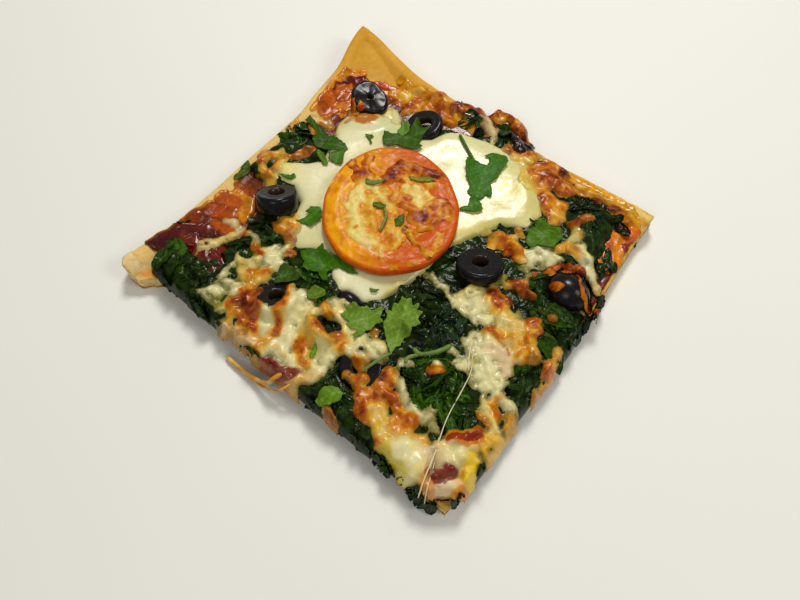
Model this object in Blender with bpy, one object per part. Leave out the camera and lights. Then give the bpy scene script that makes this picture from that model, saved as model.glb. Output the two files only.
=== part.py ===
"""A square slice of tray-baked pizza, cut from the corner of the tray.

Two sides are the tray's crust and two are cuts. From the bottom up it holds dough, tomato sauce, chopped
spinach, melted cheese, a puddle of soft mozzarella and a tomato slice with toasted cheese, with olive rings
and coriander leaves on top. Seen from above, the bare crust corner is at -X +Y and the cut corner at +X -Y.
"""

import math

import bmesh
import bpy
from mathutils import Matrix, Vector, noise
from mathutils.bvhtree import BVHTree

MM = 0.001  # places and sizes below are in millimetres, and the meshes in metres

# The slice's plan is drawn about the tomato's side of its middle. This is the middle of its box.
PLAN_MIDDLE = (3.75, 1.65)

# The dough's four edges, each as (share of the way along, place of the edge)
CRUST_LEFT = ((0.0, -84.5), (0.07, -83.0), (0.12, -81.0), (0.6, -81.0), (0.8, -84.0), (1.0, -91.0))
CRUST_RIGHT = ((0.0, 91.5), (0.5, 89.0), (1.0, 83.0))
CRUST_FRONT = ((0.0, -84.0), (0.06, -85.0), (0.085, -83.0), (0.115, -79.0), (0.5, -79.5), (1.0, -78.5))
CRUST_BACK = ((0.0, 83.0), (0.3, 79.0), (0.65, 78.0), (1.0, 80.5))

BASE_THICKNESS = 7.0
RIM_HEIGHT = 3.4
RIM_WIDTH = 8.0
CORNER_LIFT = 6.5  # the bare corner curls up
CORNER_REACH = 46.0
GAP = 0.35  # clear space between two pieces that touch
CLEARANCE = 0.08  # what a level surface adds to the gap
LEVEL = 0.0005  # corners whose heights differ by less than this are level
KEPT = 0.3  # a sound cut leaves more than this share of a piece
MERGE = 0.06  # points of a cut that are closer than this become one

SAUCE_THICKNESS = 1.2
SPINACH_THICKNESS = 3.4
SPINACH_RELIEF = 1.9
SPINACH_FOLD = 11.0  # size of one fold of the wilted leaves
DROOP_OUT = 2.6  # the toppings hang out past the two cuts
DROOP_LOW = 3.6  # and down to this height

TOMATO_CENTRE = (-9.0, 5.0)
TOMATO_RADIUS = 31.0
TOMATO_THICKNESS = 4.2
MOZZARELLA_CENTRE = (-9.0, 15.0)
MOZZARELLA_THICKNESS = 2.6
# How far the mozzarella has run, every 24 degrees from +X
MOZZARELLA_RADII = (37, 58, 61, 52, 50, 53, 59, 53, 52, 49, 48, 43, 50, 43, 35)

# Heaped spinach, given like the melted cheese below
SPINACH_HEAPS = (
    ("spinach_fold", (62, -46), 3.6, (16, 14, 12, 11, 14, 17, 14, 12, 12, 14)),
    ("spinach_middle", (37, -23), 2.8, (15, 15, 13, 12, 14, 14, 15, 14, 13, 14)),
    ("spinach_back", (64, 60), 3.0, (13, 10, 11, 12, 12, 11, 11, 13, 14, 15)),
    ("spinach_edge", (-69, 9), 2.4, (8, 8, 9, 9, 8, 7, 8, 9, 9, 9)),
)

# Melted cheese: name, centre, thickness, and how far it runs, every 36 degrees from +X
CHEESES = (
    ("cheese_back_left", (-36, 68), 3.0, (19, 15, 13, 13, 16, 21, 14, 10, 10, 14)),
    ("cheese_back_lobe", (2, 79), 4.0, (19, 15, 12, 13, 13, 13, 10, 10, 11, 15)),
    ("cheese_back_right", (41, 61), 3.0, (16, 17, 16, 17, 17, 15, 13, 14, 18, 17)),
    ("cheese_crust_left", (-70, 42), 2.0, (8, 11, 15, 19, 9, 8, 9, 14, 13, 9)),
    ("cheese_edge_left", (-68, -9), 2.4, (10, 9, 8, 9, 10, 10, 9, 8, 9, 11)),
    ("cheese_right", (58, 14), 2.8, (14, 18, 20, 17, 13, 10, 13, 18, 20, 15)),
    ("cheese_middle", (66, -20), 3.2, (18, 16, 14, 14, 15, 14, 13, 12, 16, 20)),
    ("cheese_corner", (76, -64), 3.8, (19, 23, 17, 15, 30, 34, 26, 16, 16, 17)),
    ("cheese_front", (7, -64), 3.2, (15, 17, 17, 16, 18, 15, 16, 20, 18, 15)),
    ("cheese_front_left", (-31, -64), 3.2, (15, 14, 17, 19, 15, 14, 17, 18, 17, 15)),
    ("cheese_left", (-37, -41), 2.4, (12, 9, 8, 8, 11, 11, 8, 8, 8, 11)),
    ("cheese_scrap", (-60, -53), 2.8, (6, 9, 12, 9, 6, 5, 7, 10, 9, 6)),
)

# Toasted cheese on the tomato: name, place from the tomato's centre, and radii every 45 degrees
TOASTS = (
    ("toast_back", (-2, 19), 2.2, (17, 9, 7, 9, 20, 11, 7, 8)),
    ("toast_right", (17, 4), 2.4, (7, 8, 8, 7, 7, 9, 14, 9)),
    ("toast_left", (-22, 7), 2.0, (5, 6, 9, 6, 6, 6, 9, 6)),
    ("toast_middle", (-3, -6), 1.6, (10, 8, 9, 8, 12, 12, 9, 8)),
)

# Small pieces among the cheese, given like the cheese
BITS = (
    ("red_bit_1", "tomato", (10, -77), 1.8, (6, 5, 4, 4, 6, 6, 4, 3, 3, 5)),
    ("red_bit_2", "tomato", (84, -70), 2.0, (4, 5, 6, 5, 4, 4, 5, 6, 5, 4)),
    ("burnt_bit", "burnt", (16, 77), 2.4, (5, 5, 4, 5, 6, 5, 5, 5, 5, 6)),
)

# Olive rings: place, how deep the middle lies in the toppings, the way the axis leans, and the lean in degrees
OLIVES = (
    ("olive_1", (-49, -22), 0.0, 131, 32, 8.5),
    ("olive_2", (-27, 54), 1.2, 200, 12, 4.5),
    ("olive_3", (40, 9), -0.2, 125, 22, 6.0),
    ("olive_4", (-58, 50), 0.6, 330, 12, 6.0),
    ("olive_5", (-16, -57), 3.0, 120, 24, 5.0),
    ("olive_6", (9, -52), 2.4, 60, 32, 4.5),
    ("olive_7", (31, -57), 3.0, 300, 16, 5.0),
)
OLIVE_RADIUS = 8.8
OLIVE_HOLE = 3.6

# Olive ends, which are domes: place, length, width, height and heading in degrees
OLIVE_ENDS = (
    ("olive_end_1", (75, 24), 20.0, 16.0, 9.0, 20),
    ("olive_end_2", (8, -38), 13.0, 8.5, 6.0, 10),
)

# Coriander leaves: name, middle, length, width and heading in degrees from +X
LEAVES = (
    ("leaf_1", (-65, 21), 22.0, 8.0, -15),
    ("leaf_2", (-48, 13), 17.0, 12.0, -40),
    ("leaf_3", (-34, 50), 15.0, 7.0, -65),
    ("leaf_4", (-29, 41), 20.0, 15.0, 80),
    ("leaf_5", (10, 52), 24.0, 14.0, 65),
    ("leaf_6", (18, 37), 22.0, 9.0, -65),
    ("leaf_7", (-33, -17), 12.0, 8.0, 75),
    ("leaf_8", (-19, -33), 18.0, 15.0, 70),
    ("leaf_9", (17, -43), 18.0, 13.0, 65),
    ("leaf_10", (31, -33), 27.0, 15.0, -70),
    ("leaf_11", (52, 38), 15.0, 12.0, 60),
    ("leaf_12", (-78, -19), 13.0, 6.5, 75),
    ("leaf_13", (29, -73), 12.0, 7.0, 70),
    ("leaf_14", (-21, 12), 9.5, 5.5, 35),
    ("leaf_15", (-57, -8), 9.0, 4.5, 35),
    ("leaf_16", (80, 6), 22.0, 9.0, 80),
)
SPINACH_LEAVES = (
    ("spinach_tip_1", (91, -20), 15.0, 8.0, 10),
    ("spinach_tip_2", (83, -79), 14.0, 9.0, -60),
)
LEAF_THICKNESS = 0.6

# Stalks: name, two ends, and height of the middle over the straight line
STALKS = (
    ("stalk_1", (-10, 59), (5, 53), 1.2),
    ("stalk_2", (-9, 3), (-2, -7), 1.0),
)
STALK_RADIUS = 0.8

# The strand of cheese that has run over the front cut: its points, with their heights
HANGING = ((9, -76, 12.5), (7, -82, 12.5), (5, -85, 9.0), (-1, -86, 4.5), (-10, -86.5, 2.4), (-20, -86.5, 1.8))
HANGING_RADIUS = 1.2

# The strand of cheese that lies between the tomato and the right cut
LYING = ((24, -6), (31, -7), (38, -8), (45, -11), (51, -14))
LYING_RADIUS = 1.6

# Colour and roughness of each kind of piece
FINISHES = {
    "crust": ((0.76, 0.52, 0.24), 0.75),
    "sauce": ((0.42, 0.06, 0.02), 0.35),
    "spinach": ((0.05, 0.11, 0.03), 0.4),
    "burnt": ((0.05, 0.015, 0.01), 0.5),
    "cheese": ((0.82, 0.66, 0.38), 0.35),
    "mozzarella": ((0.88, 0.85, 0.66), 0.35),
    "tomato": ((0.80, 0.26, 0.05), 0.3),
    "toast": ((0.62, 0.22, 0.06), 0.4),
    "olive": ((0.02, 0.015, 0.015), 0.3),
    "leaf": ((0.10, 0.24, 0.04), 0.5),
}


def clear_scene():
    for obj in list(bpy.data.objects):
        bpy.data.objects.remove(obj, do_unlink=True)


def finish_of(kind):
    """The material of one kind of piece, made on first use."""
    material = bpy.data.materials.get(kind)
    if material is None:
        colour, roughness = FINISHES[kind]
        material = bpy.data.materials.new(kind)
        material.use_nodes = True
        shader = material.node_tree.nodes["Principled BSDF"]
        shader.inputs["Base Color"].default_value = (*colour, 1.0)
        shader.inputs["Roughness"].default_value = roughness
        shader.inputs["Metallic"].default_value = 0.0
    return material


def collection_named(name):
    """A new collection in the scene."""
    made = bpy.data.collections.new(name)
    bpy.context.scene.collection.children.link(made)
    return made


def smooth(share):
    """An S-shaped ramp from 0 to 1."""
    share = min(max(share, 0.0), 1.0)
    return share * share * (3.0 - 2.0 * share)


def along(points, where):
    """The value at a place along a list of (place, value), with smooth steps between them."""
    for (low, first), (high, second) in zip(points, points[1:]):
        if where <= high:
            return first + (second - first) * smooth((where - low) / (high - low))
    return points[-1][1]


def around(radii, angle):
    """The radius at an angle, on a smooth closed curve through radii that are evenly spaced round a turn."""
    count = len(radii)
    place = (angle / math.tau * count) % count
    start = int(place)
    t = place - start
    before, a, b, after = (radii[(start + step) % count] for step in (-1, 0, 1, 2))
    bend = 2 * before - 5 * a + 4 * b - after
    swing = 3 * (a - b) + after - before
    return 0.5 * (2 * a + (b - before) * t + bend * t**2 + swing * t**3)


def crumple(x, y, size, seed):
    """Smooth noise from -1 to 1 with features of the given size."""
    return noise.noise(Vector((x / size, y / size, seed)))


def new_object(name, kind, bm, collection):
    """An object from a bmesh in millimetres of the plan, moved to the slice's own frame in metres."""
    bm.transform(Matrix.Translation((-PLAN_MIDDLE[0], -PLAN_MIDDLE[1], 0)))
    bm.transform(Matrix.Scale(MM, 4))
    face_outward(bm)
    mesh = bpy.data.meshes.new(name)
    bm.to_mesh(mesh)
    bm.free()
    obj = bpy.data.objects.new(name, mesh)
    obj.data.materials.append(finish_of(kind))
    collection.objects.link(obj)
    return obj


def face_outward(bm):
    bmesh.ops.recalc_face_normals(bm, faces=bm.faces[:])
    if bm.calc_volume(signed=True) < 0:
        bmesh.ops.reverse_faces(bm, faces=bm.faces[:])


def layer(name, kind, columns, rows, place, top, bottom, collection):
    """A closed slab. place gives x and y from two shares, and top and bottom give heights from x and y."""
    bm = bmesh.new()
    bmesh.ops.create_grid(bm, x_segments=len(columns) - 1, y_segments=len(rows) - 1, size=1.0)
    for vert in bm.verts:
        u = columns[round((vert.co.x + 1) / 2 * (len(columns) - 1))]
        v = rows[round((vert.co.y + 1) / 2 * (len(rows) - 1))]
        x, y = place(u, v)
        vert.co = (x, y, top(x, y))
    made = bmesh.ops.extrude_face_region(bm, geom=bm.faces[:])["geom"]
    for vert in made:
        if isinstance(vert, bmesh.types.BMVert):
            vert.co.z = bottom(vert.co.x, vert.co.y)
    merge_flat(bm)
    return new_object(name, kind, bm, collection)


def is_level(edge):
    """Whether the faces at an edge are level and at one height."""
    heights = [vert.co.z for face in edge.link_faces for vert in face.verts]
    return max(heights) - min(heights) < LEVEL


def merge_flat(bm):
    """Makes one face of the faces that lie in one level plane, and leaves corners where they are."""
    edges = [edge for edge in bm.edges if edge.is_manifold and is_level(edge)]
    bmesh.ops.dissolve_edges(bm, edges=edges, use_verts=False)


def even(count, first=0.0, last=1.0):
    """Evenly spaced shares from first to last."""
    return [first + (last - first) * step / count for step in range(count + 1)]


def between(low, high, share):
    return low + (high - low) * share


def crust_place(u, v):
    """The dough's plan, from a share to the right and a share to the back."""
    x = between(along(CRUST_LEFT, v), along(CRUST_RIGHT, v), u)
    y = between(along(CRUST_FRONT, u), along(CRUST_BACK, u), v)
    return x, y


def corner_distance(x, y):
    """Distance from the tip of the bare corner."""
    return math.hypot(x - CRUST_LEFT[-1][1], y - CRUST_BACK[0][1])


def corner_lift(x, y):
    return CORNER_LIFT * smooth(1.0 - corner_distance(x, y) / CORNER_REACH) ** 1.3


def shares(x, y):
    """About how far to the right and to the back a place on the dough is, as shares."""
    across = (x - CRUST_LEFT[-1][1]) / (CRUST_RIGHT[-1][1] - CRUST_LEFT[-1][1])
    back = (y - CRUST_FRONT[-1][1]) / (CRUST_BACK[-1][1] - CRUST_FRONT[-1][1])
    return across, back


def edge_distance(x, y):
    """Distance to the nearer of the two crust sides."""
    across, back = shares(x, y)
    return min(x - along(CRUST_LEFT, back), along(CRUST_BACK, across) - y)


def cut_distance(x, y):
    """Distance to the nearer of the two cuts, and less than 0 outside them."""
    across, back = shares(x, y)
    return min(along(CRUST_RIGHT, back) - x, y - along(CRUST_FRONT, max(across, 0.12)))


def crust_top(x, y):
    """The dough is flat under the toppings, and rises into a rim and a broad bare corner."""
    distance = edge_distance(x, y)
    rim = RIM_HEIGHT * smooth(1.0 - (distance - RIM_WIDTH / 2) / RIM_WIDTH)
    bare = 2.4 * smooth(1.0 - (corner_distance(x, y) - 16.0) / 26.0)
    shoulder = 5.0 * (1.0 - smooth(distance / 4.0))
    bumps = 0.5 * crumple(x, y, 14.0, 3.0) * smooth(rim / 2.0)
    return BASE_THICKNESS + max(rim, bare) - shoulder + bumps + corner_lift(x, y)


def crust_bottom(x, y):
    rounding = 0.9 * (1.0 - smooth(edge_distance(x, y) / 2.5))
    return rounding + corner_lift(x, y)


def make_crust(collection):
    columns = [0.0, 0.012, 0.04, 0.08] + even(11, 0.14, 1.0)
    rows = even(11, 0.0, 0.86) + [0.92, 0.96, 0.988, 1.0]
    return layer("crust", "crust", columns, rows, crust_place, crust_top, crust_bottom, collection)


# How far in from the dough's edges the sauce and the spinach stop
SAUCE_LEFT = ((0.0, 4.0), (0.5, 4.5), (0.75, 6.0), (1.0, 27.0))
SAUCE_BACK = ((0.0, 22.0), (0.25, 12.0), (0.5, 6.0), (1.0, 6.0))
SPINACH_LEFT = ((0.0, 9.0), (0.1, 9.0), (0.22, 30.0), (0.38, 28.0), (0.48, 6.0), (0.62, 6.0), (1.0, 40.0))
SPINACH_BACK = ((0.0, 34.0), (0.25, 18.0), (0.45, 4.0), (0.58, 4.0), (0.75, 10.0), (1.0, 12.0))
SPINACH_RIGHT = ((0.0, DROOP_OUT), (0.6, DROOP_OUT), (0.78, -8.0), (1.0, -12.0))


def inset_place(left, back, right, front):
    """The plan of a layer on the dough, from how far it stays inside each edge of the dough."""

    def place(u, v):
        x = between(along(CRUST_LEFT, 0.5) + along(left, v), along(CRUST_RIGHT, v) + along(right, v), u)
        y = between(CRUST_FRONT[-1][1] + front, CRUST_BACK[-1][1] - along(back, u), v)
        wander = 1.2 * crumple(x, y, 17.0, 8.0)
        return x + wander, y + wander * (1.0 - v)

    return place


def clear_of(height):
    """A height just over a level surface and clear of it."""
    return height + GAP + CLEARANCE


SAUCE_TOP = clear_of(BASE_THICKNESS) + SAUCE_THICKNESS


def make_sauce(collection):
    place = inset_place(SAUCE_LEFT, SAUCE_BACK, ((0.0, -0.8), (1.0, -0.8)), 1.0)
    top = lambda x, y: SAUCE_TOP
    bottom = lambda x, y: clear_of(BASE_THICKNESS)
    return layer("sauce", "sauce", even(11), even(10), place, top, bottom, collection)


def spinach_top(x, y):
    """The wilted leaves lie in rounded folds, and fall away past the cuts."""
    folds = 1.0 - abs(crumple(x, y, SPINACH_FOLD, 11.0)) * 2.4
    hills = crumple(x, y, SPINACH_FOLD * 2.6, 21.0)
    height = SAUCE_TOP + SPINACH_THICKNESS + SPINACH_RELIEF * (folds * 0.6 + hills)
    return height - 2.6 * smooth(-cut_distance(x, y) / DROOP_OUT)


def spinach_bottom(x, y):
    """Level over the sauce, and low where the leaves hang past the cuts."""
    low = smooth((1.2 - cut_distance(x, y)) / (1.2 + DROOP_OUT))
    return between(clear_of(SAUCE_TOP), DROOP_LOW + 1.2 * crumple(x, y, 7.0, 51.0), low)


def make_spinach(collection):
    place = inset_place(SPINACH_LEFT, SPINACH_BACK, SPINACH_RIGHT, -DROOP_OUT)
    columns = even(18, 0.0, 0.965) + [1.0]
    rows = [0.0] + even(16, 0.035, 1.0)
    return layer("spinach", "spinach", columns, rows, place, spinach_top, spinach_bottom, collection)


def world_mesh(obj):
    """The object's evaluated mesh as a bmesh."""
    graph = bpy.context.evaluated_depsgraph_get()
    bm = bmesh.new()
    bm.from_object(obj, graph)
    return bm


def ground_under(pieces):
    """A function that gives the height of the top of these pieces, in millimetres, or a fallback beside them."""
    trees = []
    for obj in pieces:
        bm = world_mesh(obj)
        trees.append(BVHTree.FromBMesh(bm))
        bm.free()
    down = Vector((0, 0, -1))

    def ground(x, y, fallback):
        start = Vector(((x - PLAN_MIDDLE[0]) * MM, (y - PLAN_MIDDLE[1]) * MM, 100 * MM))
        heights = [hit.z / MM for hit, *_ in (tree.ray_cast(start, down) for tree in trees) if hit]
        return max(heights, default=fallback)

    return ground


def grown_copy(obj, margin, cutters):
    """A hidden copy of a piece that stands proud of it by the margin all round, to cut others with."""
    copy = bpy.data.objects.new(obj.name + "_cutter", obj.data.copy())
    bm = bmesh.new()
    bm.from_mesh(copy.data)
    bm.normal_update()
    shifts = [vert.normal * margin * MM * max(vert.calc_shell_factor(), 1.0) for vert in bm.verts]
    for vert, shift in zip(bm.verts, shifts):
        vert.co += shift
    bm.to_mesh(copy.data)
    bm.free()
    copy.hide_render = True
    copy.display_type = "WIRE"
    cutters.objects.link(copy)
    return copy


def islands(bm):
    """The separate bodies of a bmesh, as lists of faces."""
    left = set(bm.faces)
    found = []
    while left:
        body = [left.pop()]
        for face in body:
            for edge in face.edges:
                for other in edge.link_faces:
                    if other in left:
                        left.discard(other)
                        body.append(other)
        found.append(body)
    return found


def keep_largest(bm):
    """Drops the scraps that a cut leaves beside the main body."""
    bodies = sorted(islands(bm), key=lambda faces: sum(face.calc_area() for face in faces))
    for scrap in bodies[:-1]:
        bmesh.ops.delete(bm, geom=scrap, context="FACES")


def is_whole(bm):
    return all(edge.is_manifold for edge in bm.edges)


def combined(piece, other, operation, solver="EXACT"):
    """The piece with another cut from it or joined to it, as a bmesh of triangles without scraps."""
    modifier = piece.modifiers.new("combine", "BOOLEAN")
    modifier.operation = operation
    modifier.solver = solver
    modifier.object = other
    bm = world_mesh(piece)
    piece.modifiers.remove(modifier)
    keep_largest(bm)
    return bm


def tidied(bm):
    """The bmesh in triangles with its closest points merged, as far as it stays whole."""
    for merge, method in ((MERGE, "BEAUTY"), (MERGE, "EAR_CLIP"), (0.0, "BEAUTY"), (0.0, "EAR_CLIP")):
        neat = bm.copy()
        if merge:
            bmesh.ops.remove_doubles(neat, verts=neat.verts[:], dist=merge * MM)
            bmesh.ops.dissolve_degenerate(neat, edges=neat.edges[:], dist=merge * MM)
        bmesh.ops.triangulate(neat, faces=neat.faces[:], ngon_method=method)
        if is_whole(neat):
            bm.free()
            return neat
        neat.free()
    return bm


def cut_away(piece, obj, cutters):
    """Cuts an object with a gap round it from the piece. Where a cut fails, another solver or gap is taken."""
    before = world_mesh(piece)
    least = KEPT * before.calc_volume()
    before.free()
    for solver, widening in (("EXACT", 1.0), ("MANIFOLD", 1.0), ("MANIFOLD", 1.2), ("EXACT", 1.2)):
        cutter = grown_copy(obj, GAP * widening, cutters)
        bm = tidied(combined(piece, cutter, "DIFFERENCE", solver))
        whole = is_whole(bm) and bm.calc_volume() > least
        if whole:
            bm.to_mesh(piece.data)
        bm.free()
        if whole:
            return
        bpy.data.objects.remove(cutter, do_unlink=True)


def boxes_meet(a, b):
    """Whether the boxes of two objects overlap."""
    spans = []
    for obj in (a, b):
        points = [vert.co for vert in obj.data.vertices]
        spans.append([(min(p[k] for p in points), max(p[k] for p in points)) for k in range(3)])
    return all(p[0] < q[1] and q[0] < p[1] for p, q in zip(*spans))


def settle(piece, below, cutters):
    """Cuts from a piece what it rests on, so that it follows that surface with a small gap."""
    for obj in below:
        if boxes_meet(piece, obj):
            cut_away(piece, obj, cutters)


def puddle(name, kind, centre, radii, thickness, rings, segments, ground, collection):
    """A melted lump: a sphere spread to an outline, its top following the ground and its underside sunk in it."""
    bm = bmesh.new()
    bmesh.ops.create_uvsphere(bm, u_segments=segments, v_segments=rings, radius=1.0)
    for vert in bm.verts:
        angle = math.atan2(vert.co.y, vert.co.x)
        spread = math.hypot(vert.co.x, vert.co.y) ** 0.75
        reach = around(radii, angle) * spread * (1.0 + 0.07 * math.sin(5 * angle + centre[0]))
        x = centre[0] + reach * math.cos(angle)
        y = centre[1] + reach * math.sin(angle)
        floor = ground(x, y, BASE_THICKNESS + 1.5)
        if vert.co.z >= 0:
            height = floor + thickness * (vert.co.z**0.5 + 0.35 * crumple(x, y, 9.0, 31.0))
        else:
            height = floor - 1.6 - 1.2 * abs(vert.co.z)
        vert.co = (x, y, height)
    return new_object(name, kind, bm, collection)


def make_lumps(rows, rings, segments, below, collection, cutters):
    """Each lump settles on the pieces below and beside the lumps before it."""
    ground = ground_under(below)
    made = []
    for name, kind, centre, thickness, radii in rows:
        lump = puddle(name, kind, centre, radii, thickness, rings, segments, ground, collection)
        settle(lump, below + made, cutters)
        made.append(lump)
    return made


def mozzarella_level(below):
    """The height of the mozzarella's level middle, clear of what it covers."""
    ground = ground_under(below)
    reach = range(-3, 4)
    spots = [(TOMATO_CENTRE[0] + 9 * i, TOMATO_CENTRE[1] + 9 * j) for i in reach for j in reach]
    inside = [s for s in spots if math.dist(s, TOMATO_CENTRE) < TOMATO_RADIUS]
    return max(ground(*s, BASE_THICKNESS) for s in inside) + MOZZARELLA_THICKNESS * 0.6


def make_mozzarella(below, collection, cutters):
    """A soft cheese puddle, level under the tomato and thin at its edge."""
    level = mozzarella_level(below)
    ground = ground_under(below)

    def soft_ground(x, y, fallback):
        from_tomato = math.dist((x, y), TOMATO_CENTRE)
        share = smooth((from_tomato - TOMATO_RADIUS - 1.0) / 12.0)
        return between(level - MOZZARELLA_THICKNESS, ground(x, y, fallback), share)

    bm = bmesh.new()
    bmesh.ops.create_uvsphere(bm, u_segments=28, v_segments=10, radius=1.0)
    for vert in bm.verts:
        angle = math.atan2(vert.co.y, vert.co.x)
        reach = around(MOZZARELLA_RADII, angle) * math.hypot(vert.co.x, vert.co.y) ** 0.8
        x = MOZZARELLA_CENTRE[0] + reach * math.cos(angle)
        y = MOZZARELLA_CENTRE[1] + reach * math.sin(angle)
        floor = soft_ground(x, y, BASE_THICKNESS)
        height = floor + MOZZARELLA_THICKNESS * min(1.0, 1.35 * max(vert.co.z, 0.0) ** 0.4)
        if math.dist((x, y), TOMATO_CENTRE) < TOMATO_RADIUS + 1.0 and vert.co.z > 0:
            height = level
        if vert.co.z < 0:
            height = ground(x, y, BASE_THICKNESS) - 2.5
        vert.co = (x, y, height)
    piece = new_object("mozzarella", "mozzarella", bm, collection)
    settle(piece, below, cutters)
    return piece, level


def make_tomato(level, collection):
    """A round slice, flat on both faces, with a slightly wavy rounded skin."""
    bottom = level + GAP
    profile = ((0.0, 0.0), (0.965, 0.0), (1.0, 0.3), (1.0, 0.7), (0.965, 1.0), (0.0, 1.0))
    bm = bmesh.new()
    chain = [bm.verts.new((radius, 0, share)) for radius, share in profile]
    for a, b in zip(chain, chain[1:]):
        bm.edges.new((a, b))
    bmesh.ops.spin(
        bm, geom=bm.verts[:] + bm.edges[:], axis=(0, 0, 1), cent=(0, 0, 0), angle=math.tau, steps=28
    )
    bmesh.ops.remove_doubles(bm, verts=bm.verts[:], dist=0.001)
    for vert in bm.verts:
        angle = math.atan2(vert.co.y, vert.co.x)
        radius = TOMATO_RADIUS * math.hypot(vert.co.x, vert.co.y) * (1.0 + 0.018 * math.sin(3 * angle + 1.0))
        x = TOMATO_CENTRE[0] + radius * math.cos(angle)
        y = TOMATO_CENTRE[1] + radius * math.sin(angle)
        vert.co = (x, y, bottom + TOMATO_THICKNESS * vert.co.z)
    return new_object("tomato_slice", "tomato", bm, collection)


def make_toasts(level, collection):
    """Patches of toasted cheese, flat where they lie on the tomato."""
    bottom = level + GAP + TOMATO_THICKNESS + GAP
    made = []
    for name, offset, thickness, radii in TOASTS:
        bm = bmesh.new()
        bmesh.ops.create_uvsphere(bm, u_segments=14, v_segments=6, radius=1.0)
        for vert in bm.verts:
            angle = math.atan2(vert.co.y, vert.co.x)
            reach = around(radii, angle) * 0.92 * math.hypot(vert.co.x, vert.co.y) ** 0.8
            x = TOMATO_CENTRE[0] + offset[0] + reach * math.cos(angle)
            y = TOMATO_CENTRE[1] + offset[1] + reach * math.sin(angle)
            bumps = 1.0 + 0.5 * crumple(x, y, 5.0, 41.0)
            height = bottom + 0.4 + thickness * bumps * vert.co.z**0.5 if vert.co.z > 0 else bottom
            vert.co = (x, y, height)
        made.append(new_object(name, "toast", bm, collection))
    return made


def leaning(place, height, heading, lean):
    """The place of a piece whose upright axis leans over by an angle, towards a heading, in degrees."""
    turn = Matrix.Rotation(math.radians(heading), 4, "Z")
    return Matrix.Translation((*place, height)) @ turn @ Matrix.Rotation(math.radians(lean), 4, "Y")


def make_ring(name, place, height, heading, lean, width, collection):
    """A slice of a stoned olive: a hole through it, flat cut faces and a bulging skin."""
    half = width / 2
    profile = (
        (OLIVE_HOLE, -half),
        (OLIVE_RADIUS - 1.0, -half),
        (OLIVE_RADIUS, -half * 0.4),
        (OLIVE_RADIUS, half * 0.4),
        (OLIVE_RADIUS - 1.0, half),
        (OLIVE_HOLE, half),
    )
    bm = bmesh.new()
    chain = [bm.verts.new((radius, 0, z)) for radius, z in profile]
    for a, b in zip(chain, chain[1:] + chain[:1]):
        bm.edges.new((a, b))
    bmesh.ops.spin(
        bm, geom=bm.verts[:] + bm.edges[:], axis=(0, 0, 1), cent=(0, 0, 0), angle=math.tau, steps=13
    )
    bmesh.ops.remove_doubles(bm, verts=bm.verts[:], dist=0.001)
    bm.transform(leaning(place, height, heading, lean))
    return new_object(name, "olive", bm, collection)


def make_end(name, place, height, size, heading, collection):
    """The end of an olive: a smooth oval dome with a flat underside."""
    length, width, tall = size
    bm = bmesh.new()
    bmesh.ops.create_uvsphere(bm, u_segments=14, v_segments=8, radius=1.0)
    for vert in bm.verts:
        vert.co.z = max(vert.co.z, -0.25)
    bmesh.ops.dissolve_limit(bm, angle_limit=math.radians(1.0), verts=bm.verts[:], edges=bm.edges[:])
    bm.transform(Matrix.Diagonal((length / 2, width / 2, tall / 1.25, 1.0)))
    bm.transform(leaning(place, height, heading, 0.0))
    return new_object(name, "olive", bm, collection)


def make_olives(below, collection, cutters):
    """The olives lie pressed into the toppings, which are cut back round them."""
    ground = ground_under(below)
    made = []
    for name, place, sunk, heading, lean, width in OLIVES:
        low = width / 2 * math.cos(math.radians(lean)) + OLIVE_RADIUS * math.sin(math.radians(lean))
        height = max(ground(*place, BASE_THICKNESS) + width / 2 - sunk, clear_of(SAUCE_TOP) + low)
        made.append(make_ring(name, place, height, heading, lean, width, collection))
    for name, place, length, width, tall, heading in OLIVE_ENDS:
        height = ground(*place, BASE_THICKNESS) + 0.2
        made.append(make_end(name, place, height, (length, width, tall), heading, collection))
    for olive in made:
        for obj in below:
            if boxes_meet(obj, olive):
                cut_away(obj, olive, cutters)
    return made


def leaf_width(share):
    """Half the width of a leaf, as a share of its widest place, from its foot to its tip."""
    body = math.sin(math.pi * (0.1 + 0.86 * share)) ** 0.7
    return body * (0.86 + 0.14 * math.cos(3.0 * math.tau * share))


def make_leaf(name, kind, middle, length, width, heading, ground, collection):
    """A thin wavy leaf draped over what lies under it."""
    rows = 6 if length > 11 else 4
    columns = 3 if width > 6 else 2
    turn = Matrix.Rotation(math.radians(heading), 2)
    bm = bmesh.new()
    bmesh.ops.create_grid(bm, x_segments=rows, y_segments=columns, size=1.0)
    for vert in bm.verts:
        share = (vert.co.x + 1) / 2
        flat = Vector((vert.co.x * length / 2, vert.co.y * leaf_width(share) * width / 2))
        spot = turn @ flat
        x = middle[0] + spot.x
        y = middle[1] + spot.y
        around_it = [ground(x + i, y + j, BASE_THICKNESS) for i in (-1.4, 0, 1.4) for j in (-1.4, 0, 1.4)]
        wave = 0.35 * (1.0 + math.sin(2.2 * math.tau * share + middle[0]))
        vert.co = (x, y, max(around_it) + GAP + 0.25 + wave)
    made = bmesh.ops.extrude_face_region(bm, geom=bm.faces[:])["geom"]
    for vert in made:
        if isinstance(vert, bmesh.types.BMVert):
            vert.co.z += LEAF_THICKNESS
    bmesh.ops.triangulate(bm, faces=bm.faces[:])
    return new_object(name, kind, bm, collection)


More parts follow.
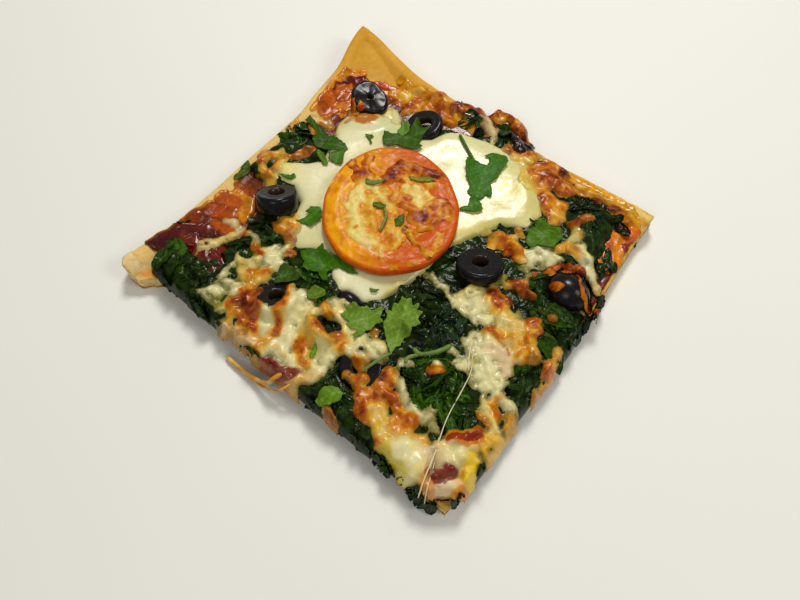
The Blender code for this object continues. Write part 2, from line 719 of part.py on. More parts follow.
def tube(name, kind, points, radius, collection):
    """A round tube with filled ends along points in millimetres, as a closed mesh."""
    curve = bpy.data.curves.new(name, "CURVE")
    curve.dimensions = "3D"
    curve.bevel_depth = radius * MM
    curve.bevel_resolution = 1
    curve.use_fill_caps = True
    spline = curve.splines.new("POLY")
    spline.points.add(len(points) - 1)
    for target, (x, y, z) in zip(spline.points, points):
        target.co = ((x - PLAN_MIDDLE[0]) * MM, (y - PLAN_MIDDLE[1]) * MM, z * MM, 1.0)
    guide = bpy.data.objects.new(name + "_line", curve)
    collection.objects.link(guide)
    graph = bpy.context.evaluated_depsgraph_get()
    mesh = bpy.data.meshes.new_from_object(guide.evaluated_get(graph))
    bpy.data.objects.remove(guide, do_unlink=True)
    bm = bmesh.new()
    bm.from_mesh(mesh)
    bmesh.ops.remove_doubles(bm, verts=bm.verts[:], dist=0.01 * MM)
    face_outward(bm)
    bm.to_mesh(mesh)
    bm.free()
    mesh.name = name
    obj = bpy.data.objects.new(name, mesh)
    obj.data.materials.clear()
    obj.data.materials.append(finish_of(kind))
    collection.objects.link(obj)
    return obj


def lay_strand(below, collection, cutters):
    """A strand of cheese that lies half sunk in the toppings."""
    ground = ground_under(below)
    points = [(x, y, ground(x, y, BASE_THICKNESS) + 0.4 * LYING_RADIUS) for x, y in LYING]
    strand = tube("strand", "cheese", points, LYING_RADIUS, collection)
    settle(strand, below, cutters)
    return strand


def make_stalks(ground, collection):
    """Stalks of coriander that rest on their two ends and arch between them."""
    steps = 6
    made = []
    for name, first, last, arch in STALKS:
        points = []
        for step in range(steps + 1):
            share = step / steps
            x = between(first[0], last[0], share)
            y = between(first[1], last[1], share)
            nearby = [ground(x + i, y + j, BASE_THICKNESS) for i in (-1, 0, 1) for j in (-1, 0, 1)]
            height = max(nearby) + STALK_RADIUS + GAP + 0.3
            points.append((x, y, height + arch * math.sin(math.pi * share)))
        made.append(tube(name, "leaf", points, STALK_RADIUS, collection))
    return made


def join_strand(lump, below, cutters):
    """Melts the strand that hangs over the cut into the lump of cheese that it ran from."""
    strand = tube("hanging", "cheese", HANGING, HANGING_RADIUS, cutters)
    settle(strand, below, cutters)
    strand.hide_render = True
    strand.display_type = "WIRE"
    bm = tidied(combined(lump, strand, "UNION"))
    bm.to_mesh(lump.data)
    bm.free()


def main():
    clear_scene()
    slice_parts = collection_named("pizza_slice")
    cutters = collection_named("cutters")
    crust = make_crust(slice_parts)
    sauce = make_sauce(slice_parts)
    settle(sauce, [crust], cutters)
    spinach = make_spinach(slice_parts)
    settle(spinach, [crust, sauce], cutters)
    layers = [crust, sauce, spinach]
    heaps = [(name, "spinach", *rest) for name, *rest in SPINACH_HEAPS]
    layers += make_lumps(heaps, 6, 14, layers, slice_parts, cutters)
    lumps = [(name, "cheese", *rest) for name, *rest in CHEESES]
    cheeses = make_lumps(lumps, 7, 18, layers, slice_parts, cutters)
    front = next(obj for obj in cheeses if obj.name == "cheese_front")
    join_strand(front, layers, cutters)
    mozzarella, level = make_mozzarella(layers + cheeses, slice_parts, cutters)
    tomato = make_tomato(level, slice_parts)
    toasts = make_toasts(level, slice_parts)
    toppings = layers[1:] + cheeses + [mozzarella]
    toppings.append(lay_strand([crust] + toppings, slice_parts, cutters))
    toppings += make_lumps(BITS, 6, 12, [crust] + toppings, slice_parts, cutters)
    olives = make_olives(toppings, slice_parts, cutters)
    toppings += [crust, tomato] + toasts + olives
    leaves = [(name, "spinach", *rest) for name, *rest in SPINACH_LEAVES]
    leaves += [(name, "leaf", *rest) for name, *rest in LEAVES]
    for leaf in leaves:
        toppings.append(make_leaf(*leaf, ground_under(toppings), slice_parts))
    make_stalks(ground_under(toppings), slice_parts)


main()
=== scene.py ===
"""The looks of the pizza slice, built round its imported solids.

Places are in millimetres on the slice's plan, as in the solids' source, and become metres in the meshes.
Most toppings are fine height fields over the plan: a thickness drawn with soft strokes over what is below.
"""

import math

import bpy
import numpy as np
from mathutils import Matrix, Vector
from mathutils.bvhtree import BVHTree
from mathutils.geometry import delaunay_2d_cdt


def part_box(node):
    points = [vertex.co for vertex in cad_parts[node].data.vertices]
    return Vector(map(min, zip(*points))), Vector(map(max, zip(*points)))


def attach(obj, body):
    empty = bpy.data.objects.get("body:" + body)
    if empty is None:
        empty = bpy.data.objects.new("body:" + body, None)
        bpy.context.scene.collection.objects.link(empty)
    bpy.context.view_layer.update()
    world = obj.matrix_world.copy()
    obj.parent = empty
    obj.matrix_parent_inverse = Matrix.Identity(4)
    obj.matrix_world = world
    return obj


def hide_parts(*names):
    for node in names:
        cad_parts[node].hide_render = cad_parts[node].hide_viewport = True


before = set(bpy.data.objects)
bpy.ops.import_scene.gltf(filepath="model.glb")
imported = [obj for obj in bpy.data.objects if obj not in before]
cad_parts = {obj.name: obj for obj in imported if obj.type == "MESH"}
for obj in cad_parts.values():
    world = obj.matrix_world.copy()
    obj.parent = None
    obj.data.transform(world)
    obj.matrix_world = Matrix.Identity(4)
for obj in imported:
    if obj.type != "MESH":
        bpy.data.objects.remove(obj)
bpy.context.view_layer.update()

# Where the model's origin lies on the plan, and the grid of the height fields, in millimetres
MIDDLE = (3.75, 1.65)
MM = 0.001
STEP = 0.5
XS = np.arange(-97.0, 101.01, STEP)
YS = np.arange(-92.0, 95.01, STEP)
X, Y = np.meshgrid(XS, YS)
SEED = 7
rng = np.random.default_rng(SEED)

# What a place read off the photograph, at the height of 16 mm, moves by for each mm that it lies lower
PARALLAX = (-0.337, 0.383)
READ_HEIGHT = 16.0
# The heights at which the toppings lie, for the places read off the photograph
SAUCE_HEIGHT = 10.0
CHEESE_HEIGHT = 13.0
SPINACH_HEIGHT = 14.0
PUDDLE_HEIGHT = 14.5
HERB_HEIGHT = 16.5
COVER_HEIGHT = 18.5
DROP_HEIGHT = 19.0
TOAST_HEIGHT = 20.5

# How steeply strokes that meet give way to the thicker one
SHARP = 3
# The dough's thickness inside its rim, and a coriander leaf's
DOUGH = 7.0
HERB = 0.22
# The tomato's radius, how far it lies beside its solid's middle, and the heading in which it is longest
TOMATO_RADIUS = 31.0
TOMATO_ASIDE = (1.5, 1.1)
TOMATO_LONG = math.radians(-49)
# How many leaves hang over the cuts, and how many shreds lie in the cheese
HANGING_LEAVES = 120
SHREDS = 620
# How the drawn colours become those of the points: weights of their grey, strength of hue and brightness
GREY = np.array([0.3, 0.5, 0.2])
HUE = 1.16
BRIGHTNESS = 0.88


def linear(colour):
    """A colour of 0 to 255 as linear light."""
    c = np.asarray(colour, float) / 255.0
    return np.where(c <= 0.04045, c / 12.92, ((c + 0.055) / 1.055) ** 2.4)


def mix(a, b, share):
    """From one colour to another, each linear or given as 0 to 255."""
    a, b = (c if isinstance(c, np.ndarray) else linear(c) for c in (a, b))
    share = np.asarray(share)[..., None]
    return a * (1 - share) + b * share


def smooth(share):
    """A share from 0 to 1 that starts and ends gently."""
    share = np.clip(share, 0.0, 1.0)
    return share * share * (3 - 2 * share)


def hashed(ix, iy, seed):
    """A random number from 0 to 1 for whole numbers."""
    h = (ix * 374761393 + iy * 668265263 + seed * 974634777) & 0xFFFFFFFF
    h = ((h ^ (h >> 13)) * 1274126177) & 0xFFFFFFFF
    return ((h ^ (h >> 16)) & 0xFFFFFFFF) / 4294967295.0


def split(x, y, size):
    """Places in units of a size, and their whole parts."""
    x, y = np.asarray(x) / size, np.asarray(y) / size
    return x, y, np.floor(x).astype(np.int64), np.floor(y).astype(np.int64)


def noise(x, y, size, seed):
    """Smooth noise from about -1 to 1, with features of the given size."""
    x, y, ix, iy = split(x, y, size)
    fx, fy = x - ix, y - iy
    u, v = fx * fx * (3 - 2 * fx), fy * fy * (3 - 2 * fy)

    def corner(dx, dy):
        a = hashed(ix + dx, iy + dy, seed) * math.tau
        return np.cos(a) * (fx - dx) + np.sin(a) * (fy - dy)

    low = corner(0, 0) * (1 - u) + corner(1, 0) * u
    high = corner(0, 1) * (1 - u) + corner(1, 1) * u
    return (low * (1 - v) + high * v) * 1.5


def rough(x, y, size, seed, octaves=3):
    """Noise with finer noise on it."""
    total = sum(noise(x, y, size / 2**k, seed + k) / 2**k for k in range(octaves))
    return total / (2 - 2 ** (1 - octaves))


def cells(x, y, size, seed):
    """Distance to the nearest of scattered points, as a share of their spacing."""
    x, y, ix, iy = split(x, y, size)
    best = np.full(x.shape, 9.0)
    for dx in (-1, 0, 1):
        for dy in (-1, 0, 1):
            px = ix + dx + hashed(ix + dx, iy + dy, seed)
            py = iy + dy + hashed(ix + dx, iy + dy, seed + 5)
            best = np.minimum(best, np.hypot(x - px, y - py))
    return best


def blur(field, sigma):
    """The field smoothed over sigma millimetres."""
    reach = int(math.ceil(3 * sigma / STEP))
    weights = np.exp(-0.5 * (np.arange(-reach, reach + 1) * STEP / sigma) ** 2)
    weights /= weights.sum()
    for axis in (0, 1):
        pad = [(reach, reach) if axis == k else (0, 0) for k in (0, 1)]
        padded = np.pad(field, pad, mode="edge")
        size = field.shape[axis]
        field = sum(w * np.take(padded, range(k, k + size), axis=axis) for k, w in enumerate(weights))
    return field


def lifted(points, height):
    """Places read off the photograph, moved to where a thing at this height really lies."""
    down = READ_HEIGHT - height
    return [(x + PARALLAX[0] * down, y + PARALLAX[1] * down) for x, y in points]


def line_distance(x, y, points):
    """Distance to a line through points."""
    best = np.full(x.shape, 1e9)
    if len(points) == 1:
        return np.hypot(x - points[0][0], y - points[0][1])
    for (ax, ay), (bx, by) in zip(points, points[1:]):
        dx, dy = bx - ax, by - ay
        t = np.clip(((x - ax) * dx + (y - ay) * dy) / max(dx * dx + dy * dy, 1e-9), 0, 1)
        best = np.minimum(best, np.hypot(x - ax - t * dx, y - ay - t * dy))
    return best


def inside(x, y, polygon):
    """Signed distance to a polygon's edge, more than 0 inside."""
    within = np.zeros(x.shape, bool)
    for (ax, ay), (bx, by) in zip(polygon, polygon[1:] + polygon[:1]):
        crosses = (ay > y) != (by > y)
        at = (bx - ax) * (y - ay) / (by - ay if by != ay else 1e-9) + ax
        within ^= crosses & (x < at)
    distance = line_distance(x, y, polygon + polygon[:1])
    return np.where(within, distance, -distance)


WARP_X = X + 1.5 * noise(X, Y, 6.5, 101) + 0.7 * noise(X, Y, 2.4, 102)
WARP_Y = Y + 1.5 * noise(X, Y, 6.5, 103) + 0.7 * noise(X, Y, 2.4, 104)


def stroke(points, radius):
    """The window of a stroke on the plan and, there, 1 on its line falling to 0 at its radius."""
    px, py = zip(*points)
    reach = radius + 3.5
    cols = slice(*np.searchsorted(XS, (min(px) - reach, max(px) + reach)))
    rows = slice(*np.searchsorted(YS, (min(py) - reach, max(py) + reach)))
    share = line_distance(WARP_X[rows, cols], WARP_Y[rows, cols], points) / radius
    return (rows, cols), np.clip(1 - share * share, 0, 1)


def top_of(names):
    """The height field of the named solids' tops, and nan beside them."""
    verts, faces = [], []
    for name in names:
        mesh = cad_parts[name].data
        base = len(verts)
        verts += [(v.co.x / MM + MIDDLE[0], v.co.y / MM + MIDDLE[1], v.co.z / MM) for v in mesh.vertices]
        faces += [tuple(base + i for i in p.vertices) for p in mesh.polygons]
    tree = BVHTree.FromPolygons(verts, faces)
    top = np.full(X.shape, np.nan)
    boxes = np.array([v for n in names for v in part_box(n)]) / MM
    (x0, y0), (x1, y1) = boxes[:, :2].min(0) + MIDDLE, boxes[:, :2].max(0) + MIDDLE
    for r in range(*np.searchsorted(YS, (y0, y1))):
        for c in range(*np.searchsorted(XS, (x0, x1))):
            hit = tree.ray_cast(Vector((XS[c], YS[r], 60.0)), Vector((0, 0, -1)))[0]
            if hit:
                top[r, c] = hit.z
    return top


def height_at(field, x, y):
    """The field's value at places, between its points."""
    c = np.clip((x - XS[0]) / STEP, 0, len(XS) - 1.001)
    r = np.clip((y - YS[0]) / STEP, 0, len(YS) - 1.001)
    ci, ri = c.astype(int), r.astype(int)
    fc, fr = c - ci, r - ri
    low = field[ri, ci] * (1 - fc) + field[ri, ci + 1] * fc
    high = field[ri + 1, ci] * (1 - fc) + field[ri + 1, ci + 1] * fc
    return low * (1 - fr) + high * fr


def splat(field, points):
    """The field raised to points that lie on it."""
    c = np.round((points[:, 0] - XS[0]) / STEP).astype(int)
    r = np.round((points[:, 1] - YS[0]) / STEP).astype(int)
    ok = (c > 0) & (c < len(XS) - 1) & (r > 0) & (r < len(YS) - 1)
    raised = field.copy()
    for dc in (-1, 0, 1):
        for dr in (-1, 0, 1):
            np.maximum.at(raised, (r[ok] + dr, c[ok] + dc), points[ok, 2])
    return raised


def numbered(shape):
    """Numbers of the points of a grid, or of rings of points that follow each other."""
    return np.arange(math.prod(shape)).reshape(shape)


def grid_quads(index):
    """The quads of a grid of points."""
    return np.stack([index[:-1, :-1], index[:-1, 1:], index[1:, 1:], index[1:, :-1]], -1).reshape(-1, 4)


def bands(index):
    """Quads between each ring of points and the next."""
    a, b = index[:-1], index[1:]
    return np.stack([a, np.roll(a, -1, 1), np.roll(b, -1, 1), b], -1).reshape(-1, 4)


# The order of a quad's corners that turns it over
OVER = [0, 3, 2, 1]


def new_piece(name, verts, faces, replaces, slot, tint):
    """A mesh piece of the slice, from places in millimetres, with a colour for each point or for all."""
    verts = (np.asarray(verts, float) - (*MIDDLE, 0)) * MM
    mesh = bpy.data.meshes.new(name)
    mesh.from_pydata(verts.tolist(), [], faces if isinstance(faces, list) else faces.tolist())
    tint = np.broadcast_to(tint if isinstance(tint, np.ndarray) else linear(tint), (len(verts), 3))
    grey = (tint @ GREY)[:, None]
    full = np.ones((len(verts), 4), np.float32)
    full[:, :3] = BRIGHTNESS * np.clip(grey + (tint - grey) * HUE, 0.002, 1)
    mesh.color_attributes.new("tint", "FLOAT_COLOR", "POINT").data.foreach_set("color", full.ravel())
    mesh.polygons.foreach_set("use_smooth", np.ones(len(mesh.polygons), bool))
    mesh.materials.append(MATERIALS[slot])
    mesh.validate()
    obj = bpy.data.objects.new(name, mesh)
    bpy.context.scene.collection.objects.link(obj)
    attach(obj, "root")
    if replaces:
        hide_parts(*replaces)


def field_piece(name, height, mask, replaces, slot, tint, skirt=0.0):
    """A height field where the mask is set, with its open edge turned down by the skirt."""
    whole = mask[:-1, :-1] & mask[1:, :-1] & mask[:-1, 1:] & mask[1:, 1:]
    used, quads = np.unique(grid_quads(numbered(X.shape))[whole.ravel()], return_inverse=True)
    quads = quads.reshape(-1, 4)
    verts = np.stack([X.ravel()[used], Y.ravel()[used], height.ravel()[used]], axis=1)
    tint = tint.reshape(-1, 3)[used]
    if skirt:
        edges = np.concatenate([quads[:, [k, (k + 1) % 4]] for k in range(4)])
        rim = edges[~np.isin(edges @ [len(verts), 1], edges @ [1, len(verts)])]
        ends, places = np.unique(rim, return_inverse=True)
        places = places.reshape(-1, 2) + len(verts)
        lower = verts[ends] - (0, 0, skirt)
        lower[:, 2] = np.maximum(lower[:, 2], np.minimum(0.4, verts[ends, 2] - 0.1))
        sides = np.stack([rim[:, 1], rim[:, 0], places[:, 0], places[:, 1]], axis=1)
        verts = np.concatenate([verts, lower])
        quads = np.concatenate([quads, sides])
        tint = np.concatenate([tint, tint[ends]])
    new_piece(name, verts, quads, replaces, slot, tint)


def add_node(tree, kind, output, **inputs):
    """A new node's output, with values and links for the node's inputs."""
    node = tree.nodes.new("ShaderNode" + kind)
    for key, value in inputs.items():
        socket = node.inputs[key.replace("_", " ")]
        if isinstance(value, bpy.types.NodeSocket):
            tree.links.new(value, socket)
        else:
            socket.default_value = value
    return node.outputs[output]


def node_material(name):
    """A new material with its node tree and shader."""
    material = bpy.data.materials.new(name)
    material.use_nodes = True
    return material, material.node_tree, material.node_tree.nodes["Principled BSDF"]


def food_material(name, gloss, mottling, specular, glow, bumps):
    """A node material whose colour is the points' tint, mottled, with uneven gloss and fine bumps."""
    material, tree, shader = node_material(name)
    where = add_node(tree, "TexCoord", "Object")

    def cloud(scale, detail):
        return add_node(tree, "TexNoise", "Fac", Scale=scale, Detail=detail, Roughness=0.6, Vector=where)

    def between(value, middle, spread):
        return add_node(tree, "MapRange", "Result", Value=value, From_Min=0.3, From_Max=0.7,
                        To_Min=middle - spread, To_Max=middle + spread)

    shader.inputs["Specular IOR Level"].default_value = specular
    if glow:
        weight, radius, scale = glow
        shader.inputs["Subsurface Weight"].default_value = weight
        shader.inputs["Subsurface Radius"].default_value = radius
        shader.inputs["Subsurface Scale"].default_value = scale * MM
    tint = tree.nodes.new("ShaderNodeAttribute")
    tint.attribute_name = "tint"
    mottled = tree.nodes.new("ShaderNodeVectorMath")
    mottled.operation = "SCALE"
    tree.links.new(tint.outputs["Color"], mottled.inputs[0])
    tree.links.new(between(cloud(mottling[1], 3), 1, mottling[0]), mottled.inputs["Scale"])
    tree.links.new(mottled.outputs["Vector"], shader.inputs["Base Color"])
    tree.links.new(between(cloud(400, 2), *gloss), shader.inputs["Roughness"])
    normal = {}
    for scale, depth, detail in bumps:
        height = cloud(scale, detail)
        bump = add_node(tree, "Bump", "Normal", Strength=1.0, Distance=depth * MM, Height=height, **normal)
        normal = {"Normal": bump}
    tree.links.new(bump, shader.inputs["Normal"])
    return material


# Materials of the slots: name, roughness and its spread, mottling and its scale, specular level,
# light that goes through (weight, reach of each colour and depth) and bumps (scale, depth, detail)
MATERIALS = {slot: food_material(*values) for slot, values in {
    "crust": ("dough", (0.68, 0.08), (0.08, 500), 0.25, (0.12, (1, 0.6, 0.3), 1.2),
              ((900, 0.1, 4), (220, 0.15, 2))),
    "sauce": ("sauce", (0.2, 0.08), (0.25, 500), 0.3, (0.04, (1, 0.25, 0.1), 0.8),
              ((1200, 0.06, 2), (350, 0.08, 2))),
    "spinach": ("spinach", (0.17, 0.06), (0.35, 600), 0.1, None, ((420, 0.2, 3),)),
    "cheese": ("cheese", (0.28, 0.12), (0.06, 700), 0.3, (0.12, (1, 0.8, 0.4), 1.0), ((600, 0.08, 3),)),
    "toast": ("toast", (0.36, 0.1), (0.12, 900), 0.16, (0.08, (1, 0.6, 0.3), 1.0), ((500, 0.12, 3),)),
    "mozzarella": ("mozzarella", (0.26, 0.08), (0.03, 300), 0.4, (0.3, (1, 0.8, 0.5), 2.0),
                   ((300, 0.08, 2),)),
    "tomato": ("tomato", (0.3, 0.1), (0.1, 500), 0.14, (0.08, (1, 0.4, 0.1), 1.2), ((600, 0.12, 3),)),
    "olive": ("olive", (0.24, 0.08), (0.3, 700), 0.24, None, ((500, 0.06, 3),)),
    "leaf": ("coriander", (0.45, 0.08), (0.2, 700), 0.12, None, ((900, 0.06, 4),)),
}.items()}
MATERIALS["burnt"] = MATERIALS["olive"]

# Tones of cheese, and its colour as it browns
TONES = {key: linear(colour) for key, colour in {
    "w": (235, 227, 172), "c": (236, 216, 138), "y": (220, 180, 78), "t": (164, 158, 74),
    "k": (188, 134, 72), "p": (232, 202, 156), "o": (206, 136, 60), "g": (232, 176, 50), "b": (148, 68, 32),
    "r": (112, 34, 18),
}.items()}
BROWNING = np.array((
    (0.0, 234, 208, 134), (0.25, 224, 172, 86), (0.42, 206, 134, 58), (0.58, 182, 98, 44),
    (0.72, 152, 70, 32), (0.86, 116, 46, 24), (1.0, 76, 30, 18),
))


def places(text):
    """Points from a text that gives x and y in turn."""
    numbers = [float(n) for n in text.split()]
    return list(zip(numbers[::2], numbers[1::2]))


def strokes(text):
    """Rows of points and, after a bar, what goes with them: numbers and the letters of tones."""
    made = []
    for row in text.split(";"):
        points, rest = row.split("|")
        made.append((places(points), [TONES[v] if v in TONES else float(v) for v in rest.split()]))
    return made


